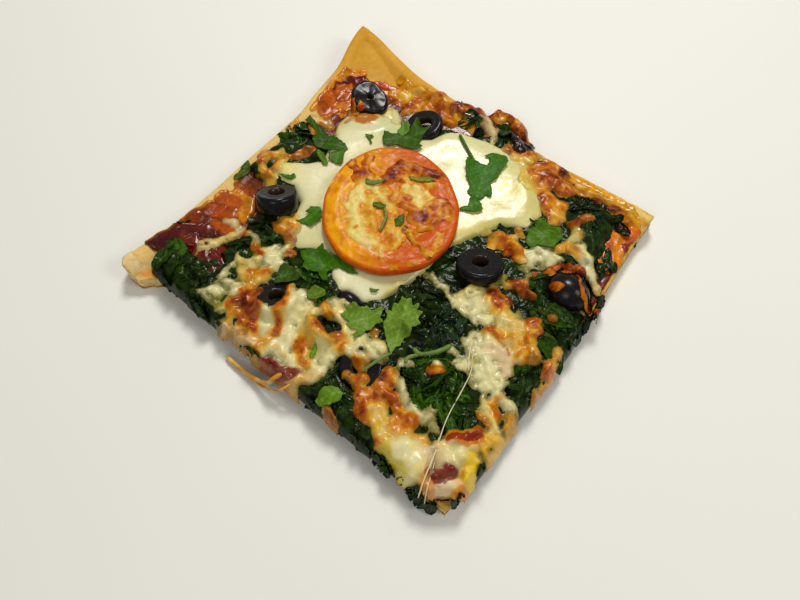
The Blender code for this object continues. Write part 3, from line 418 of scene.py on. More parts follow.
# Melted cheese, as read off the photograph: the line, radius, thickness, tone and browning
CHEESE = strokes("""
-61.5 -60.1 -60 -55.6 -57.5 -50.8 -54.6 -46.4|2.4 2.2 c 0;
-62.6 -42.3 -58.4 -41.5 -54.1 -41.3|1.6 1.6 p 0.1;
-49.5 -42.2 -47.4 -42.4|1.5 1.8 o 0.8;
-46.4 -41.6 -41.8 -43.1|1.3 1.6 w 0;
-41.4 -46 -34.8 -46.4|2 2.2 o 0.75;
-35 -42.7 -31.2 -42.2 -30.2 -45.1 -26.8 -44.9|3 2.2 w 0.05;
-27.6 -37.9 -26 -37.1|1.7 1.8 o 0.7;
-31.3 -39 -30.1 -36|1.3 1.6 w 0;
-39.8 -32.2 -36 -31.7 -30.5 -32.4|2.4 2 o 0.62;
-39.3 -27.7 -35.5 -27.2 -32 -28.4|2.4 2 y 0.45;
-40.5 -23.3 -37.7 -23.7|1.8 1.5 y 0.3;
-42.4 -54 -39 -53.7 -36.7 -53 -35.1 -50.4|2.2 2 c 0.05;
-37.9 -56.6 -33.7 -59.5|2.1 2 y 0.15;
-33.2 -55.3 -30.6 -54.3 -28.9 -52.3 -27.3 -50.4|1.7 2 o 0.55;
-31.4 -58.8 -27.7 -60.7|2.5 2.2 y 0.5;
-27.2 -55.3 -25.9 -53|1.7 2 y 0.2;
-30 -51.3 -27.7 -48.2|1.3 1.6 c 0.1;
-42.9 -58.2 -42 -62.6 -41.2 -66.3|1.5 1.6 w 0;
-44.1 -54.7 -42.8 -53|1.1 1.4 w 0;
-37.5 -66.3 -35.2 -65.1 -31.6 -63.9|1.9 2 w 0.05;
-40.6 -73.8 -37.7 -71.4 -34.1 -68.4 -31.2 -66.6|1.5 1.8 w 0;
-39.5 -76 -37.5 -75.5|1.3 1.6 w 0;
-34.9 -74 -31.7 -73.1 -31.3 -75.8|2.7 1.6 t 0;
-30.1 -71.2 -27.5 -69 -26.3 -65.6 -29.6 -64.7|2.1 2.2 o 0.8;
-27 -63.2 -23.8 -62.3 -22.4 -66 -21.7 -69 -18.5 -67.5|3.4 3 b 0.85;
-18.7 -75.4 -14.9 -73.4 -12 -73.9|2.3 2.4 b 0.8;
-17.2 -68.8 -15.9 -71.3|2.1 2.6 b 0.8;
-24.7 -77.5 -25.5 -73.3 -22.9 -73.6|2.1 1.8 t 0.4;
-24 -80.4 -18.9 -79.7 -13.9 -79 -9.2 -79.1|3.1 1.8 k 0.1;
-14.6 -66.7 -11.4 -66.4 -11.4 -69.9 -8.9 -70.2|2.7 2.4 w 0.05;
-12.8 -55.6 -9.9 -56.8 -9.9 -61.6 -8.3 -65 -5.8 -65.2|1.5 2.6 o 0.75;
-15.2 -49 -12.2 -53.3|1.3 2.4 c 0.15;
-5.4 -68.5 -7 -70.9 -7.9 -73.4|2 2.2 o 0.5;
-7.6 -73.8 -4.5 -74.6 -6.1 -77.6|2.4 2.2 o 0.48;
-8.3 -50.7 -3.2 -52.5 -1 -56.6 -0.1 -61.7 1.1 -66.5 1.7 -70.6 -1.4 -73.2|3.1 2.6 w 0.03;
0.4 -73.9 4.7 -73.7 8.4 -74|3 2.4 w 0.05;
-3.3 -74.7 -3.9 -77.5|2 1.8 c 0.15;
3 -61.4 4.3 -59.2 7.4 -60.1 6.7 -64.1 8.2 -67.5 10.6 -68.8|3.3 2.8 g 0.48;
8.6 -57.9 11.1 -59.4|2.5 2.4 o 0.72;
12.4 -70.7 15.4 -70.4|2.6 2.4 g 0.42;
14 -63.7 17.7 -63 18.8 -66.5 19.9 -70 19.8 -73.4|3.4 2.8 w 0.04;
1.2 -57.1 2.5 -53.7 -0.7 -52.8|2.5 2.4 c 0.1;
14.1 -59.1 16.6 -58.2|2 2 g 0.25;
17.3 -54.2 20.3 -55.1 21.4 -57.6|2.8 2.4 o 0.6;
16.8 -50 15.6 -46.9|1.8 1.8 c 0.1;
11.9 -48.2 8.8 -47.3|1.9 1.8 c 0.1;
6.3 -43.3 3.2 -42.9|1.9 1.6 w 0;
24.7 -49.2 28.9 -50.2 28.2 -53.1 29.6 -47.4|3 2.4 w 0.08;
26.7 -42.9 29.1 -44.4|1.8 1.8 o 0.5;
33.1 -47.8 33 -50.2|2 1.8 w 0.1;
32.1 -44.2 33.9 -44.4|1.2 1.4 c 0.1;
-0.8 -80.6 3.5 -80.4 7.1 -80.7 10.1 -79.3 12.9 -76.4|3.2 2.6 r 0;
-7.6 -81.7 -2 -82.7 4 -83.2 9.5 -83.1 13.6 -82.9|1.8 2 k 0.12;
14.5 -81.6 17 -77.3 19.8 -72.3 21.6 -71.9|2.4 2.2 k 0.22;
17.2 -82.1 20.4 -84.2|1.6 1.6 k 0.1;
32.4 -80 35.7 -81.4 39.4 -82|1.6 2 o 0.5;
38.2 -65.6 40.3 -69.2 43.6 -71.7 46.9 -72.1|2.4 2.4 o 0.82;
42.1 -66.6 43.5 -63.4 43.6 -60 43.3 -56 42.8 -53.1|2.9 2.8 o 0.72;
44.4 -66.8 47.3 -66.6 49.4 -67.9|2.5 2.6 g 0.4;
48.2 -68.9 52.6 -70.4 56.1 -72.7 59.7 -75.7|3.5 3 y 0.06;
42.9 -51.9 45.1 -53.3|1.8 2.2 c 0.15;
47 -60.4 50.4 -60.8 54.3 -61.7 58.1 -62.7 61.4 -63.1|2.3 3 b 0.7;
57.3 -66.5 61.2 -66.3|2.9 2.6 r 0.3;
49.1 -54.4 52.4 -55.9 55.7 -57.4 58.9 -58.9 62.7 -59.9 65.7 -60.5|1.8 2.4 w 0;
66.3 -56.9 68.9 -57.8 71 -59.2|1.9 2.2 c 0;
57.3 -70.1 61.5 -69.1 66 -67.4 70.5 -65.7|1.9 2.4 k 0.3;
56.9 -76.5|1.9 2.6 b 0.9;
63.2 -75.8 66.6 -76.9 70.5 -77.5|3.4 4.2 y 0;
65.7 -71.7 68.9 -71 71.9 -73.4 73.8 -76.8|4.5 4.8 c 0;
73.4 -69.2 74.7 -72.1|3 4 p 0;
77 -64.2 78.9 -60.6 82.4 -57.7 85.6 -57|3 4.6 c 0;
81.9 -63.1 85.2 -61.3|3.8 4.6 c 0.02;
87.5 -59.4 90.3 -61.9 92 -65.3 94.4 -67.2|3.2 4.4 g 0.04;
81.1 -65.7 77.9 -66.5|3 4.2 p 0;
81.6 -73.5 83.5 -70.5 85.1 -67.2|2.8 5.8 r 0;
84.4 -77.5 87.8 -74.1 89.3 -71.4|2.8 4.2 p 0;
91 -72.4 93.1 -70.2|2 3.4 o 0.42;
76.7 -73.3 78.5 -76.7 81.4 -79 84.4 -79.3|1.9 3 o 0.3;
76.3 -59.8 78.8 -56.7 81.8 -53.2 85.2 -50.3|1.7 4.4 b 0.5;
78.7 -60.3 82.8 -55.8 87.1 -52.8|1.3 4.2 o 0.45;
76.8 -36.7 79.3 -38.8 82.9 -41 86.5 -43.2 89.5 -44.7|1.9 2.6 c 0.08;
81 -43.6 84.4 -45.4|1.2 2.2 o 0.62;
80.9 -36.4 83.7 -38.2 85.4 -39.9|2.1 2.4 o 0.5;
81.4 -33.8 83.5 -32.1|1.2 2 b 0.6;
90.6 -47.4 94 -47 97.2 -46.9|3.6 3 g 0.22;
98.1 -50.6 97.1 -54.3|2.6 2.6 o 0.42;
95.1 -42.1 98 -44.2|1.9 2.4 g 0.2;
88 -54 91.3 -53.3 94.5 -52.6|2.5 3 g 0.1;
85 -33.5 87.6 -31.8 89.9 -33.1|2.1 2.4 w 0.05;
90.6 -36.6 93.2 -39.6 95.2 -41|2.3 2.2 k 0.35;
61 -30.2 65 -30.2|2.6 2.2 w 0;
55.2 -29.4 58.2 -29.2 61.7 -28.6|1.7 2 w 0;
60.2 -33.1 63.9 -33.3|1.8 2 w 0;
55.1 -22.7 58.1 -21.4 61.5 -21.9|1.6 1.8 w 0;
57.7 -18.2 60.7 -18.1 64.1 -18.6|1.9 2.2 w 0;
61.4 -24.3 64.6 -27.2 66.6 -30.5|1.4 2.4 t 0;
65.5 -23.1 68.9 -23.7 72.1 -25.4|2.6 2.6 w 0;
67.9 -28.9 71.9 -28.9 75.8 -28.9|2.8 2.6 w 0.02;
70.9 -34.1 74.3 -33.4 77.7 -32.7|2.4 2.4 w 0;
77.9 -27.1 80 -28.1|2 1.8 t 0;
74.9 -26.4 78.1 -28.1 79.3 -32.4|3 2.6 w 0.03;
54.4 -38.5 56.3 -39.7|1.6 2.4 w 0;
56.2 -42 58.3 -40.2|1.9 3 o 0.68;
43.8 -45.6 46.1 -45.9|1.7 2.2 w 0;
61.4 -16.4 64.8 -16.9 68.2 -17.5|2.4 2.6 c 0.03;
67 -18.5 71 -18.5 74.9 -19.8 75.3 -21.7|3.4 3 p 0.03;
71.5 -12.5 74.7 -15.5 77.4 -16.6|3 2.8 p 0.14;
72.1 -15.4 74.5 -17.3|0.6 3.4 r 0;
71.2 -9.4 74.4 -11.2 77.6 -14.2|2.4 2.6 y 0.35;
76.8 -10.3 79.5 -14.8|2 2.2 o 0.52;
73 -0.9 73.5 1.8 76 0.4 76.2 -4|2.6 2.6 o 0.68;
76.3 -5.6 78.6 -6|2 2.2 o 0.45;
80.4 -8.5 82.8 -9.8 83.7 -11.8|2 2.2 y 0.42;
77.5 7.5 78.6 7.9|1.4 2.6 o 0.6;
88.3 -1.9 90.8 -5.4 91.5 -9.2 94.7 -9.8|1.8 2.4 o 0.36;
89.2 -10.1 90.5 -13.3|2.2 2.6 o 0.5;
93.9 -12.7 94.6 -16.4 94.7 -20.6 95.4 -24.3|2 2.4 o 0.32;
92.3 -22.6 93.1 -25.1|1.8 2 o 0.45;
97.5 -15.1 98.8 -17.7|1.2 1.6 p 0.2;
25 -10.1 27 -7.2 32 -8 39.3 -10.5 44.7 -12.1 48.6 -13|1.4 2.4 w 0;
43.4 -7.7 44.8 -4.1 47.4 -0.7|2.9 2.4 c 0.05;
46.9 -9.6 49.5 -6.2 53.2 -5.6|3.3 2.6 w 0.04;
51 -12.2 54.7 -10.3 58.9 -9.1|2.5 2.2 w 0;
52.2 -1.6 56.8 -5|2.5 2.6 y 0.15;
54.3 2.5 57.3 2.6 58 -1|3.3 3.2 o 0.84;
59.6 -3.2 60.6 -1.2|2.7 2.8 o 0.42;
62.4 -5 66.4 -7|2.9 2.8 c 0.04;
62.3 -2.8 67.2 -4.6 71 -7.2 72.4 -11.7|3.5 2.8 y 0.14;
63.7 -11.5 67.5 -11.2 70.8 -9.6|2 2.8 g 0.45;
60.9 -14.4 61.4 -11.7|1.6 2.2 o 0.55;
65.1 3.1 71 -3.7|1.2 1.6 t 0;
56.4 12.3 59.2 12.7 62.7 12 65 10.9|1.9 2.8 o 0.78;
54.4 9.4 56 11.3|1.3 2 o 0.5;
54.1 19.7 58.5 17.1 60.4 13.8|1.5 1.8 t 0.05;
50.9 12 51.5 7.6 50.8 4.5|1.5 2 t 0;
52.1 28.2 54.4 30.8 58.8 30.6 58.8 26.1 55.6 24.8|2.7 2.2 w 0;
60.5 32.6 64.2 33.1 61.7 27.9|2 2 w 0.05;
61.1 37.6 63.2 41.3 66.3 40.6|2.4 2.2 o 0.38;
68.6 43.2 72.9 39.1 77.8 36.9 80.5 36.6|2.2 2.4 w 0.02;
67.8 41.3 70.4 38.9|1.7 2 o 0.3;
62.2 49.6 63.5 45.4|1.8 2 c 0.2;
58.8 50.1 60 54.5 62.1 57.6 64 57.8|1.8 2.4 o 0.72;
60.9 20.3 61.2 21.2|1.1 2 o 0.75;
76.7 44.8 77.6 45.6|0.9 1.6 o 0.6;
25.2 72.1 30.7 73.8 38.5 73.6 47.5 73.1 55.4 74 63.2 74.9 71.3 75.3 77.3 75.5|1.7 1 y 0.42;
29.3 74.1 33.1 75|1.4 1.4 o 0.75;
38.2 74.1 42.5 74.1|1.5 1.4 o 0.8;
52.1 74.2 57.1 74.7|1.2 1.2 o 0.6;
-60.7 4.3 -57.3 11.6|1.4 1.2 o 0.6;
-79 15.3 -78.8 23.4|1.4 1 k 0.2;
83.9 34.5 85.5 32.7|1.6 1.8 c 0.1;
84.7 20.6 85.8 19.7|1.2 1.8 c 0.1;
-54.6 62.8 -53.3 67.2 -51.4 69.5|2 1.8 o 0.5;
-54 59.1 -49.8 60.1 -46.8 61|2.4 2 o 0.6;
-52.3 63 -47.7 65.1|2.9 2 y 0.3;
-48.6 67.7 -43.7 70.9|2.4 1.8 y 0.25;
-43.1 64 -38.5 64.5 -34.7 66|3.6 2.6 o 0.68;
-41.3 57.4 -40.6 59.6|2.4 2 o 0.5;
-49.4 50.7 -48 53.5|2.2 1.8 o 0.45;
-52.4 49.9 -46.7 49 -41 48.2|2.9 1.8 c 0;
-58.1 32.5 -57.6 38.4 -55.2 42.8 -51.4 44.3 -46.1 43.9|1.7 1.2 o 0.58;
-54.1 37.3 -51.2 39.7|1.9 1 y 0.35;
-71.9 25.8 -69 28.2 -64.7 27.8|2.9 1.8 p 0.42;
-75.7 -8.1 -75.2 -4.6|2.3 1.8 o 0.62;
-71.2 -7.3 -69.2 -4.2 -67.5 -1.3|1.9 1.8 y 0.3;
-68.6 -12.6 -64.8 -13.8 -61 -15 -59.4 -18|2.5 1.8 y 0.32;
-73.1 -11.9 -72.5 -9.9|1.9 1.8 o 0.6;
-64.7 -10 -66 -6 -64.8 -2 -60.4 0.1|1.5 1.8 o 0.7;
-63.9 -4.3 -62.1 -8.7|1.9 1.6 g 0.2;
-59.8 2.1 -58.5 6.1 -58.7 9|2.1 1.8 o 0.75;
-69.2 20.2 -65.2 17.3|1.4 2.4 b 0.45;
-39.8 70 -35.3 72 -32.4 76.1|2.7 2.4 o 0.5;
-34 66.6 -31.1 70.6 -26.6 74.3|2.9 2.4 o 0.6;
-27.2 67.4 -25.1 70.8 -23.5 65.7 -19.8 65.6|2.6 2.6 b 0.7;
-24.4 76.1 -20.7 76 -17.7 80 -15.5 83.4|3.1 2.6 o 0.76;
-28.3 79.5 -26 79.7|1.9 2 y 0.35;
-9.6 77.1 -5.2 74.5 -0.2 70.9 4.1 68.3|1.8 2 p 0.12;
-10.4 84.5 -8.5 86.8 -7.4 90.1 -4.5 90.9 -0.8 89.1 4.3 87 9.3 84.8 14.2 82.7 16.3 81.4|2.3 3.6 b 0.72;
-6.7 83.5 -4.5 86.9|1.4 2 p 0.5;
14 67.4 16.8 69.7 21 71.7 24.5 71.6|1.9 2.2 b 0.7;
10.5 69 11.5 66.1|1.7 1.8 o 0.6;
25.5 73.2 30.7 75.3 35.5 76.3|2.3 1.8 o 0.42;
29.8 67.2 33.9 69.1 36.1 73.9|3.6 2.4 o 0.72;
28.3 63.1 33 62.6 38.2 58.4|3.2 2.4 o 0.56;
36.4 64 39.9 66.9 44.5 66.4|4.1 2.8 o 0.66;
41.4 56.9 45.8 53.6 49.6 51.3|4 2.8 o 0.6;
48.6 57.3 51.5 51.5 52.3 47.4|3.1 2.4 y 0.42;
46.3 63.7 46.5 68.1|2.7 2 o 0.6;
33.5 77.6 39.6 76|1.1 1.4 b 0.75;
18.7 63.9 24.9 61.7 28.8 57.7 34.7 55.6|2.8 1.4 g 0.08;
17.7 65.3 23.7 68|2.1 1.6 y 0.25;
45.9 69 51.3 70.6 55.9 71.6|1.2 1.2 b 0.5;
36 22.7 38.7 26.3 42.7 28.2 46.4 27.4 49.7 25|2 3.4 p 0.42;
42.5 24.1 45.7 25.5 48.1 24.3|1.7 3 o 0.7;
42.6 33.4 45.1 32.9|1.7 2 o 0.55;
31 24.4 32 25.9|1.7 1.2 o 0.4;
24.8 -26.8 23.5 -29.1|1.2 1.4 w 0
""")
# Cheese that lies over the low olives
COVERS = strokes("""
-26.7 -62.3 -22.1 -64.5 -18.8 -69|2.9 2.6 b 0.8;
-15.3 -66.1 -11.1 -66.8 -10.8 -70.6|3.1 2.4 w 0.05;
-16.1 -48.6 -12.5 -54.1 -10.2 -60.7 -7.3 -65.4|1.7 2.8 o 0.62;
-10.9 -49.2 -7 -53.2 -4.5 -58.3 -2.6 -63.8|3.2 2.4 w 0.03;
-11.5 -64.1 -9.6 -60.1|2.5 2.2 c 0.1;
6.7 -41.9 11 -44.2 16.2 -47 21.7 -49.4|2.9 2.6 c 0.06;
13.2 -42.4 18.4 -45.1|2.1 2.2 w 0.04;
-5.5 -51.9 -0.7 -56.3 5.8 -60.3|1.9 2.4 c 0.1;
9.2 -58.6 14.1 -59.1 17.8 -58.3|2.2 2.2 c 0.15;
0.9 -42.4 4.8 -41.6|1.9 1.8 w 0;
1.9 -45.2 5 -48.6|1.7 3.2 b 0.5;
22.1 -53.6 27.3 -52.1 29.6 -47.4|3 2.4 w 0.06;
27.7 -56.8 29 -54.1 31.1 -52.9|1.6 2.6 b 0.5;
31.8 -57.3 34.1 -59.2|2.2 2.6 b 0.5;
30.5 -62.3 33.7 -61.8|1.7 2.2 b 0.55;
28.1 -62.6|1.4 2 b 0.55;
31.9 -48.9 34.9 -48.6|2 2 w 0.1
""")
# Toasted and creamy cheese on the tomato
TOASTED = strokes("""
-39.1 16.2 -35.4 13.4 -31 11.2|2.5 1.1 b 0.7;
-32.7 21.4 -30.4 16 -26.1 13.8|2.5 1.1 b 0.66;
-30.6 10.1 -26.7 11.9 -23.2 13.3|2.7 1 o 0.6;
-20.2 23 -19.6 27.9 -15 30.2 -6.9 31.8 -2.7 33.8|3.2 1.2 b 0.68;
-19.1 16.8 -16.7 20.9 -12.1 23.9|2.7 1.1 o 0.62;
-9.3 23.4 -5.2 26.8 -0.3 29.4|2.5 1 o 0.5;
3.6 9.8 5 16.4 6.8 23.4 12.4 20.5 11 13.9|3.7 1.1 b 0.7;
7.9 7.4 10.6 10.3 12.4 15|2.6 1 b 0.6;
-16.6 12.5 -10 11.6 -4.5 12 0.9 12.4|2.7 1.1 o 0.58;
-9.3 13.6 -5.2 15.6|2.7 1 o 0.5;
-14 -0.7 -9.5 -3.1 -6.5 -5.3|2 1 o 0.58;
-23.7 3 -21.6 -2.1 -16 -7.1 -9.2 -10.8 -3.2 -12.4|3.8 1 c 0.04;
-26 8.2 -22.5 12.5 -15.5 11.2 -9.9 7.5|3.6 1 c 0.12;
-16.8 6 -15.4 -1.1 -5.2 -8.8|3.6 1 y 0.25;
-7.9 18.9 -3.1 21.5 3 21 0.6 16.2|3.6 1 c 0.12;
-7.9 5.1 -1.8 3.3 1.5 -3.3|3.5 0.9 y 0.3;
4.8 -3.1 2.8 -8.7 0.1 -12.2|3 0.9 y 0.3;
-5.8 -12.6 -1.2 -14 4.7 -12.3|2.6 0.9 p 0.08;
-12.5 -10.3|1.1 1.4 o 0.62;
-8.5 -20|1.3 0.8 o 0.5;
8.4 -8|1.3 0.8 o 0.7;
3.4 -12.1 5.4 -15.7|1.3 0.8 o 0.6;
2.2 4 7.5 1.7 12.7 -0.5 17.9 -1.4 23.4 -1.4|1.3 1.6 r 0.3;
-28.5 -3.7 -22.1 -9.4 -14.5 -13.9|2.2 0.7 y 0.2;
-37.1 -0.9 -38 5.4|1.8 0.6 y 0.3;
17.5 10 20 4.2 18.6 0.5|2.6 0.8 o 0.42;
13.9 -9.9 17.1 -7.2|2.6 0.7 y 0.4;
12.5 -15.5 13.8 -15|1.7 1 b 0.5
""")
# Drops of browned cheese on olives
DROPS = strokes("""
64.4 27.6|1.9 2.4 b 0.72;
68.6 31.1 67.9 33|1.9 2.4 b 0.7;
70.4 35.2 71.8 36.9 74.2 36.4|1.3 1.8 b 0.76;
68.5 21.1 70.3 21.3|1.8 2.2 b 0.7;
73 32.9 76.9 28.6 79.8 25 82.8 25 85.7 25 88.7 26.3|1 1.6 o 0.72;
61.3 26.3 61.5 29|1.3 1.8 b 0.72;
64.7 32.3 64 30.4|1.3 1.4 b 0.8;
-63.8 44.6 -61 42.8|1.2 1.2 r 0.8;
-60.8 47 -57.6 44|1.2 1.2 r 0.8;
-66.7 41.4 -65.7 37.4|1.6 1.2 r 0.75;
-62 40.4 -58.1 40.4|1.4 1.2 r 0.7;
36 22.7 38.7 26.3 42.7 28.2 46.4 27.4 49.7 25|2.2 2.2 p 0.42;
42.8 23.7 46 25.1 48.8 24.2|1.7 1.8 o 0.7
""")
# The burnt crisp on the back edge
BURNT = strokes("11 76 15 79 20 80|3.4 2.6 r 1; 13 74 16 72|3 2 r 1")
# Colours laid on the finished cheese: points, radius, share and colour
PAINT = strokes("""
-1.4 -81.1 2.8 -80.9 7.4 -79.9 12.3 -76.9|3 0.85 124 36 20;
7.6 -83.5 12.4 -82.8|1.6 0.6 186 100 46;
-10.7 -80.9 -5.1 -81.9 0.4 -81.8|2 0.6 176 104 54;
83.1 -74.2 84.2 -71.4 85.3 -68.6|3.1 0.9 118 34 22;
77.9 -74.2 78.2 -71.1|1.5 0.7 150 52 34;
76.1 -59.5 78.8 -56.7 81.8 -53.2 85.2 -50.3|1.7 0.95 146 50 24;
77.3 -61 81.1 -57.3 84.9 -53.6 88.3 -51.8|1.3 0.7 212 112 36;
87 -58.8 90.5 -60.8 92.6 -64.9 95.4 -67.3|2.8 0.7 232 200 66;
92 -70.1 94.7 -68.8|1.8 0.7 220 134 60;
84.6 -77.3 88 -74.4|2.2 0.6 222 196 156;
80.5 -61.3 84.3 -60.1|3.4 0.5 232 226 176;
70.2 -74.8 65.5 -73.8|3.8 0.5 232 230 190;
66.2 -78.2 70.9 -79.1|1.9 0.6 222 208 96;
59.4 -75.9 62.5 -77.3|2.3 0.6 218 202 90;
81.3 -77.2 84.4 -79.3|1.5 0.7 206 138 84;
71.8 -15 74.3 -16.9|0.7 0.9 170 50 28;
71.6 -18 75.5 -19.3|2.4 0.5 236 206 168;
-7.6 -71.5 -3.9 -72.9 0.1 -73 4.4 -74|1.4 0.45 212 164 84;
-27.3 -77.8 -26.6 -81.4|1.8 0.6 72 76 40;
-7.6 -81.7 -3.3 -81.5|1.6 0.5 190 172 96;
10.3 -66.8 14 -67.2 14 -63.7|1.6 0.5 214 186 96;
18.3 -60.1 22.5 -60|1.9 0.45 196 176 100
""")
# Sauce that shows: the line, radius, thickness and colour
SAUCE = strokes("""
-73.2 32.8 -76.3 43.3 -73.7 52 -66.1 56.7 -56.9 60.9|4.3 0.8 192 100 42;
-67.4 39.2 -63.3 49.1 -54.3 56.4|4.4 0.7 196 110 46;
-16.2 74.9 -5.9 77 4.2 77.5 11.3 77.3|5.7 0.8 74 38 24;
-76.2 41.7 -78.2 46.7 -76.9 51.1 -73.9 55.2 -70.5 58|2.2 1.6 96 26 28;
-78.2 36.8 -81.4 47.4 -78.8 55.5 -71.9 60.3|2.4 0.9 206 128 50;
-76 27.3 -77.4 35.9 -78.9 46.1 -77.1 54.3|1.9 0.6 214 140 60;
-75.3 35.1 -75.7 40.5 -71.9 42 -70.2 46.7|3.2 1.2 184 92 34;
-72.9 33.9 -69 33.9 -68.7 30.1|3.4 1.2 176 88 38;
-70.3 54 -66.9 57.6 -63.4 58.8|2.5 1.8 92 24 24;
-63.9 60.1 -59.3 62.2 -55.8 63.4|2.2 1.4 194 84 30;
-70.6 -21.5 -64.7 -21.6 -58.9 -19.7|4.6 1.4 100 44 28;
-69.9 -26.6 -63.9 -27.4|3.6 1.2 150 76 34;
-68.8 -31.4 -61.5 -31 -58.3 -36.6|4.1 1.4 206 132 44;
-72.1 -36.9 -65.6 -35.7 -64.5 -40.4|4.1 1.3 182 92 32;
-73.7 -45.2 -68.7 -42.5 -63.7 -42.5|4.5 1.3 158 74 26;
-73.8 -52.2 -67.5 -49.7 -62.7 -47.1 -57.9 -44.4|4 1.5 120 50 24;
-75.8 -55.2 -75.5 -49.5 -75.1 -45|3.1 1.2 128 58 30;
-76.7 -62.7 -71.9 -58.7 -67.9 -54.1 -63.7 -53.3|3.5 1.8 92 34 24;
-79.1 -68.7 -73.5 -66.7 -70.9 -63.2 -66.1 -60.6|4 1.8 80 28 26;
-79.4 -72.9 -73.9 -71 -71.9 -68.1|3.5 1.8 72 26 26;
-68.8 -62.8 -64 -60.1 -58.4 -59.5|3.1 1.4 110 44 30;
-64 -48.2 -59.1 -46.8 -54.3 -45.5|2.7 1 170 84 34;
-60.3 -62.4 -53.2 -65.5 -48.3 -67.7|3.9 1.8 102 36 26;
-53.4 -60.6 -47.8 -62.3|3 1.4 92 32 24;
-49.4 -72.5 -44.6 -73.5|3 1.8 70 28 22;
-51.1 -37.5 -50.6 -34.4|2.2 1.6 110 36 20;
71.1 61 76.6 58.9 79.1 51.9 82.2 45.5|3.5 1.6 200 92 34;
79.9 61.7 81.4 65.6 82 68.7|3.5 1.4 200 100 36;
77.9 60 82.3 54.6 84.2 48.5|3 1.4 218 134 42;
78.6 46.4 81.3 42.3|2.1 1.4 180 80 30;
82.4 59.2 83.8 57.8|1.5 1.8 136 44 20;
44.7 70.9 52 71.2 59.1 71.5 65.9 72.3 73.9 72.7|1.8 1.3 150 70 34;
34.1 73.6 42.8 73.6 51.4 73.6 59.3 74.5 67.1 75.3 74.1 75.6|2.1 0.8 222 160 62;
72.5 70.2 76.9 71.2 80.7 71.6|2.6 1.2 206 128 48;
76.5 73.5 80.5 72.8|1.8 0.8 226 168 74;
78.7 -23.7 82.1 -23.1|2 1.8 84 30 18;
24.5 74.6 32.8 75.5 41.9 75|2.3 1 226 170 72;
-54.9 69.2 -47.9 69.9 -38.8 72.5 -32 76.4|2.5 1 214 150 62;
-18.3 -78 -13.9 -77.8|1.6 1.4 170 70 30;
-41.6 -81.9 -35.6 -81.8|2.1 1.6 96 34 24
""")

# The outline of the soft mozzarella, and colours on it: points, radius and colour, its own tones with painted
# light and shade among them
MOZZARELLA = places("""
24 8 29 20 35 31 44 37 46 47 41 55 31 59 23 65 10 67 0 66 -8 64 -15 65 -17 58 -20 50 -28 47 -37 51 -46 57
-56 55 -61 49 -64 41 -63 32 -60 26 -55 20 -50 8 -57 2 -63 -3 -66 -8 -58 -13 -50 -12 -43 -16 -40 -24 -36 -32
-28 -34 -20 -30 -10 -31 -5 -36 1 -38 5 -36 9 -37 14 -35 18 -30 20 -23 23 -12 24 -2
""")
# Painted light and shade among these colours: the row from (-3, -33) is painted light where the tomato's
# shadow falls, the row from (-52, 36) is painted light on the left part, and the last row is painted shade on
# the right end; the others are the cheese's own tones
MOZZARELLA_TONES_AND_PAINTED_LIGHT = strokes("""
-58 30 -54 34|8 232 226 120;
26 48 34 56|6 240 226 110;
24 14 26 26|7 240 226 150;
-52 -6 -60 -4|6 238 222 140;
-46 50 -38 42|7 212 216 168;
18 50 20 58|6 226 224 150;
-3 -33 4 -34 14 -31|8 250 246 214;
18 -24 20 -20|4 236 222 160;
-10 48 8 42|6 232 230 176;
-52 36 -50 10 -46 -8|12 244 240 204;
26 30 38 48 30 56|10 216 202 128
""")
# How much a place lies on the lobe that hangs over the back edge
LOBE = smooth(1.5 - np.hypot((X + 3) / 15, (Y - 78) / 9))

# Spinach heaps: middle, radii, number of sheets and shade
SHADES = {
    "dark": (28, 46, 18), "blue": (24, 44, 28), "black": (22, 26, 16), "mid": (44, 72, 22),
    "bright": (54, 90, 24), "olive": (80, 94, 34),
}
HEAPS = [row.split() for row in """
-68 10 8 9 12 mid; -72 14 5 5 5 dark; -9 74 7 5 11 dark; 3 79 6 5 11 dark; -1 76 8 5 6 mid;
-8 79 5 3 5 black; 57 66 6 8 12 black; 66 60 5 9 10 blue; 70 50 5 7 8 dark; 74 66 6 2 4 black;
80 42 4 6 6 dark; 84 30 5 7 8 dark; 89 12 5 12 14 blue; 80 9 6 8 8 mid; 78 4 5 6 6 olive; 69 13 6 5 6 dark;
86 -2 6 6 7 mid; 62 18 3 6 4 mid; 38 -15 10 6 12 blue; 34 -27 11 9 14 dark; 47 -22 7 9 12 blue;
26 0 5 4 6 dark; 36 31 4 5 5 blue; 48 -1 5 5 5 dark; 30 -12 6 5 6 black; -42 -33 9 5 10 dark;
-48 -48 7 6 10 dark; -38 -48 6 3 5 mid; -62 -72 11 5 13 mid; -50 -78 9 5 9 dark; -30 -80 7 3 6 dark;
-40 -70 6 5 5 mid; 60 -44 13 8 22 mid; 64 -48 11 8 14 bright; 52 -47 6 8 9 dark; 73 -50 6 7 8 dark;
84 -20 6 10 11 dark; 80 -13 3 6 4 mid; 90 -34 5 8 9 blue; 86 -48 4 4 4 dark; 22 -64 4 8 8 dark;
30 -71 7 8 10 dark; 44 -77 10 5 12 dark; 60 -83 10 3 7 black; 84 -83 5 3 5 dark; 96 -62 3 8 7 dark;
-12 -42 7 5 7 mid; -5 -46 5 5 5 mid; 52 -55 4 3 3 dark; 70 -63 5 2 3 dark; 40 -48 3 5 4 black;
-34 -62 9 8 5 dark; 2 -45 6 4 5 dark; 14 -56 5 5 3 dark; 50 40 8 5 4 mid; 66 28 5 6 4 dark;
91 -8 3 12 6 dark; 92 -56 3 6 4 dark; -78 -58 3 5 2 dark
""".split(";")]
# Folded leaves at the front corner: middle, heading in degrees and half length
FOLDS = (
    (82.0, -81.0, 5.5, -10, 4.6), (86.5, -80.5, 4.6, 16, 4.2), (91.5, -73.0, 7.0, 96, 4.6),
    (91.0, -66.0, 7.5, 84, 4.2), (78.0, -80.5, 6.0, 8, 4.4),
)

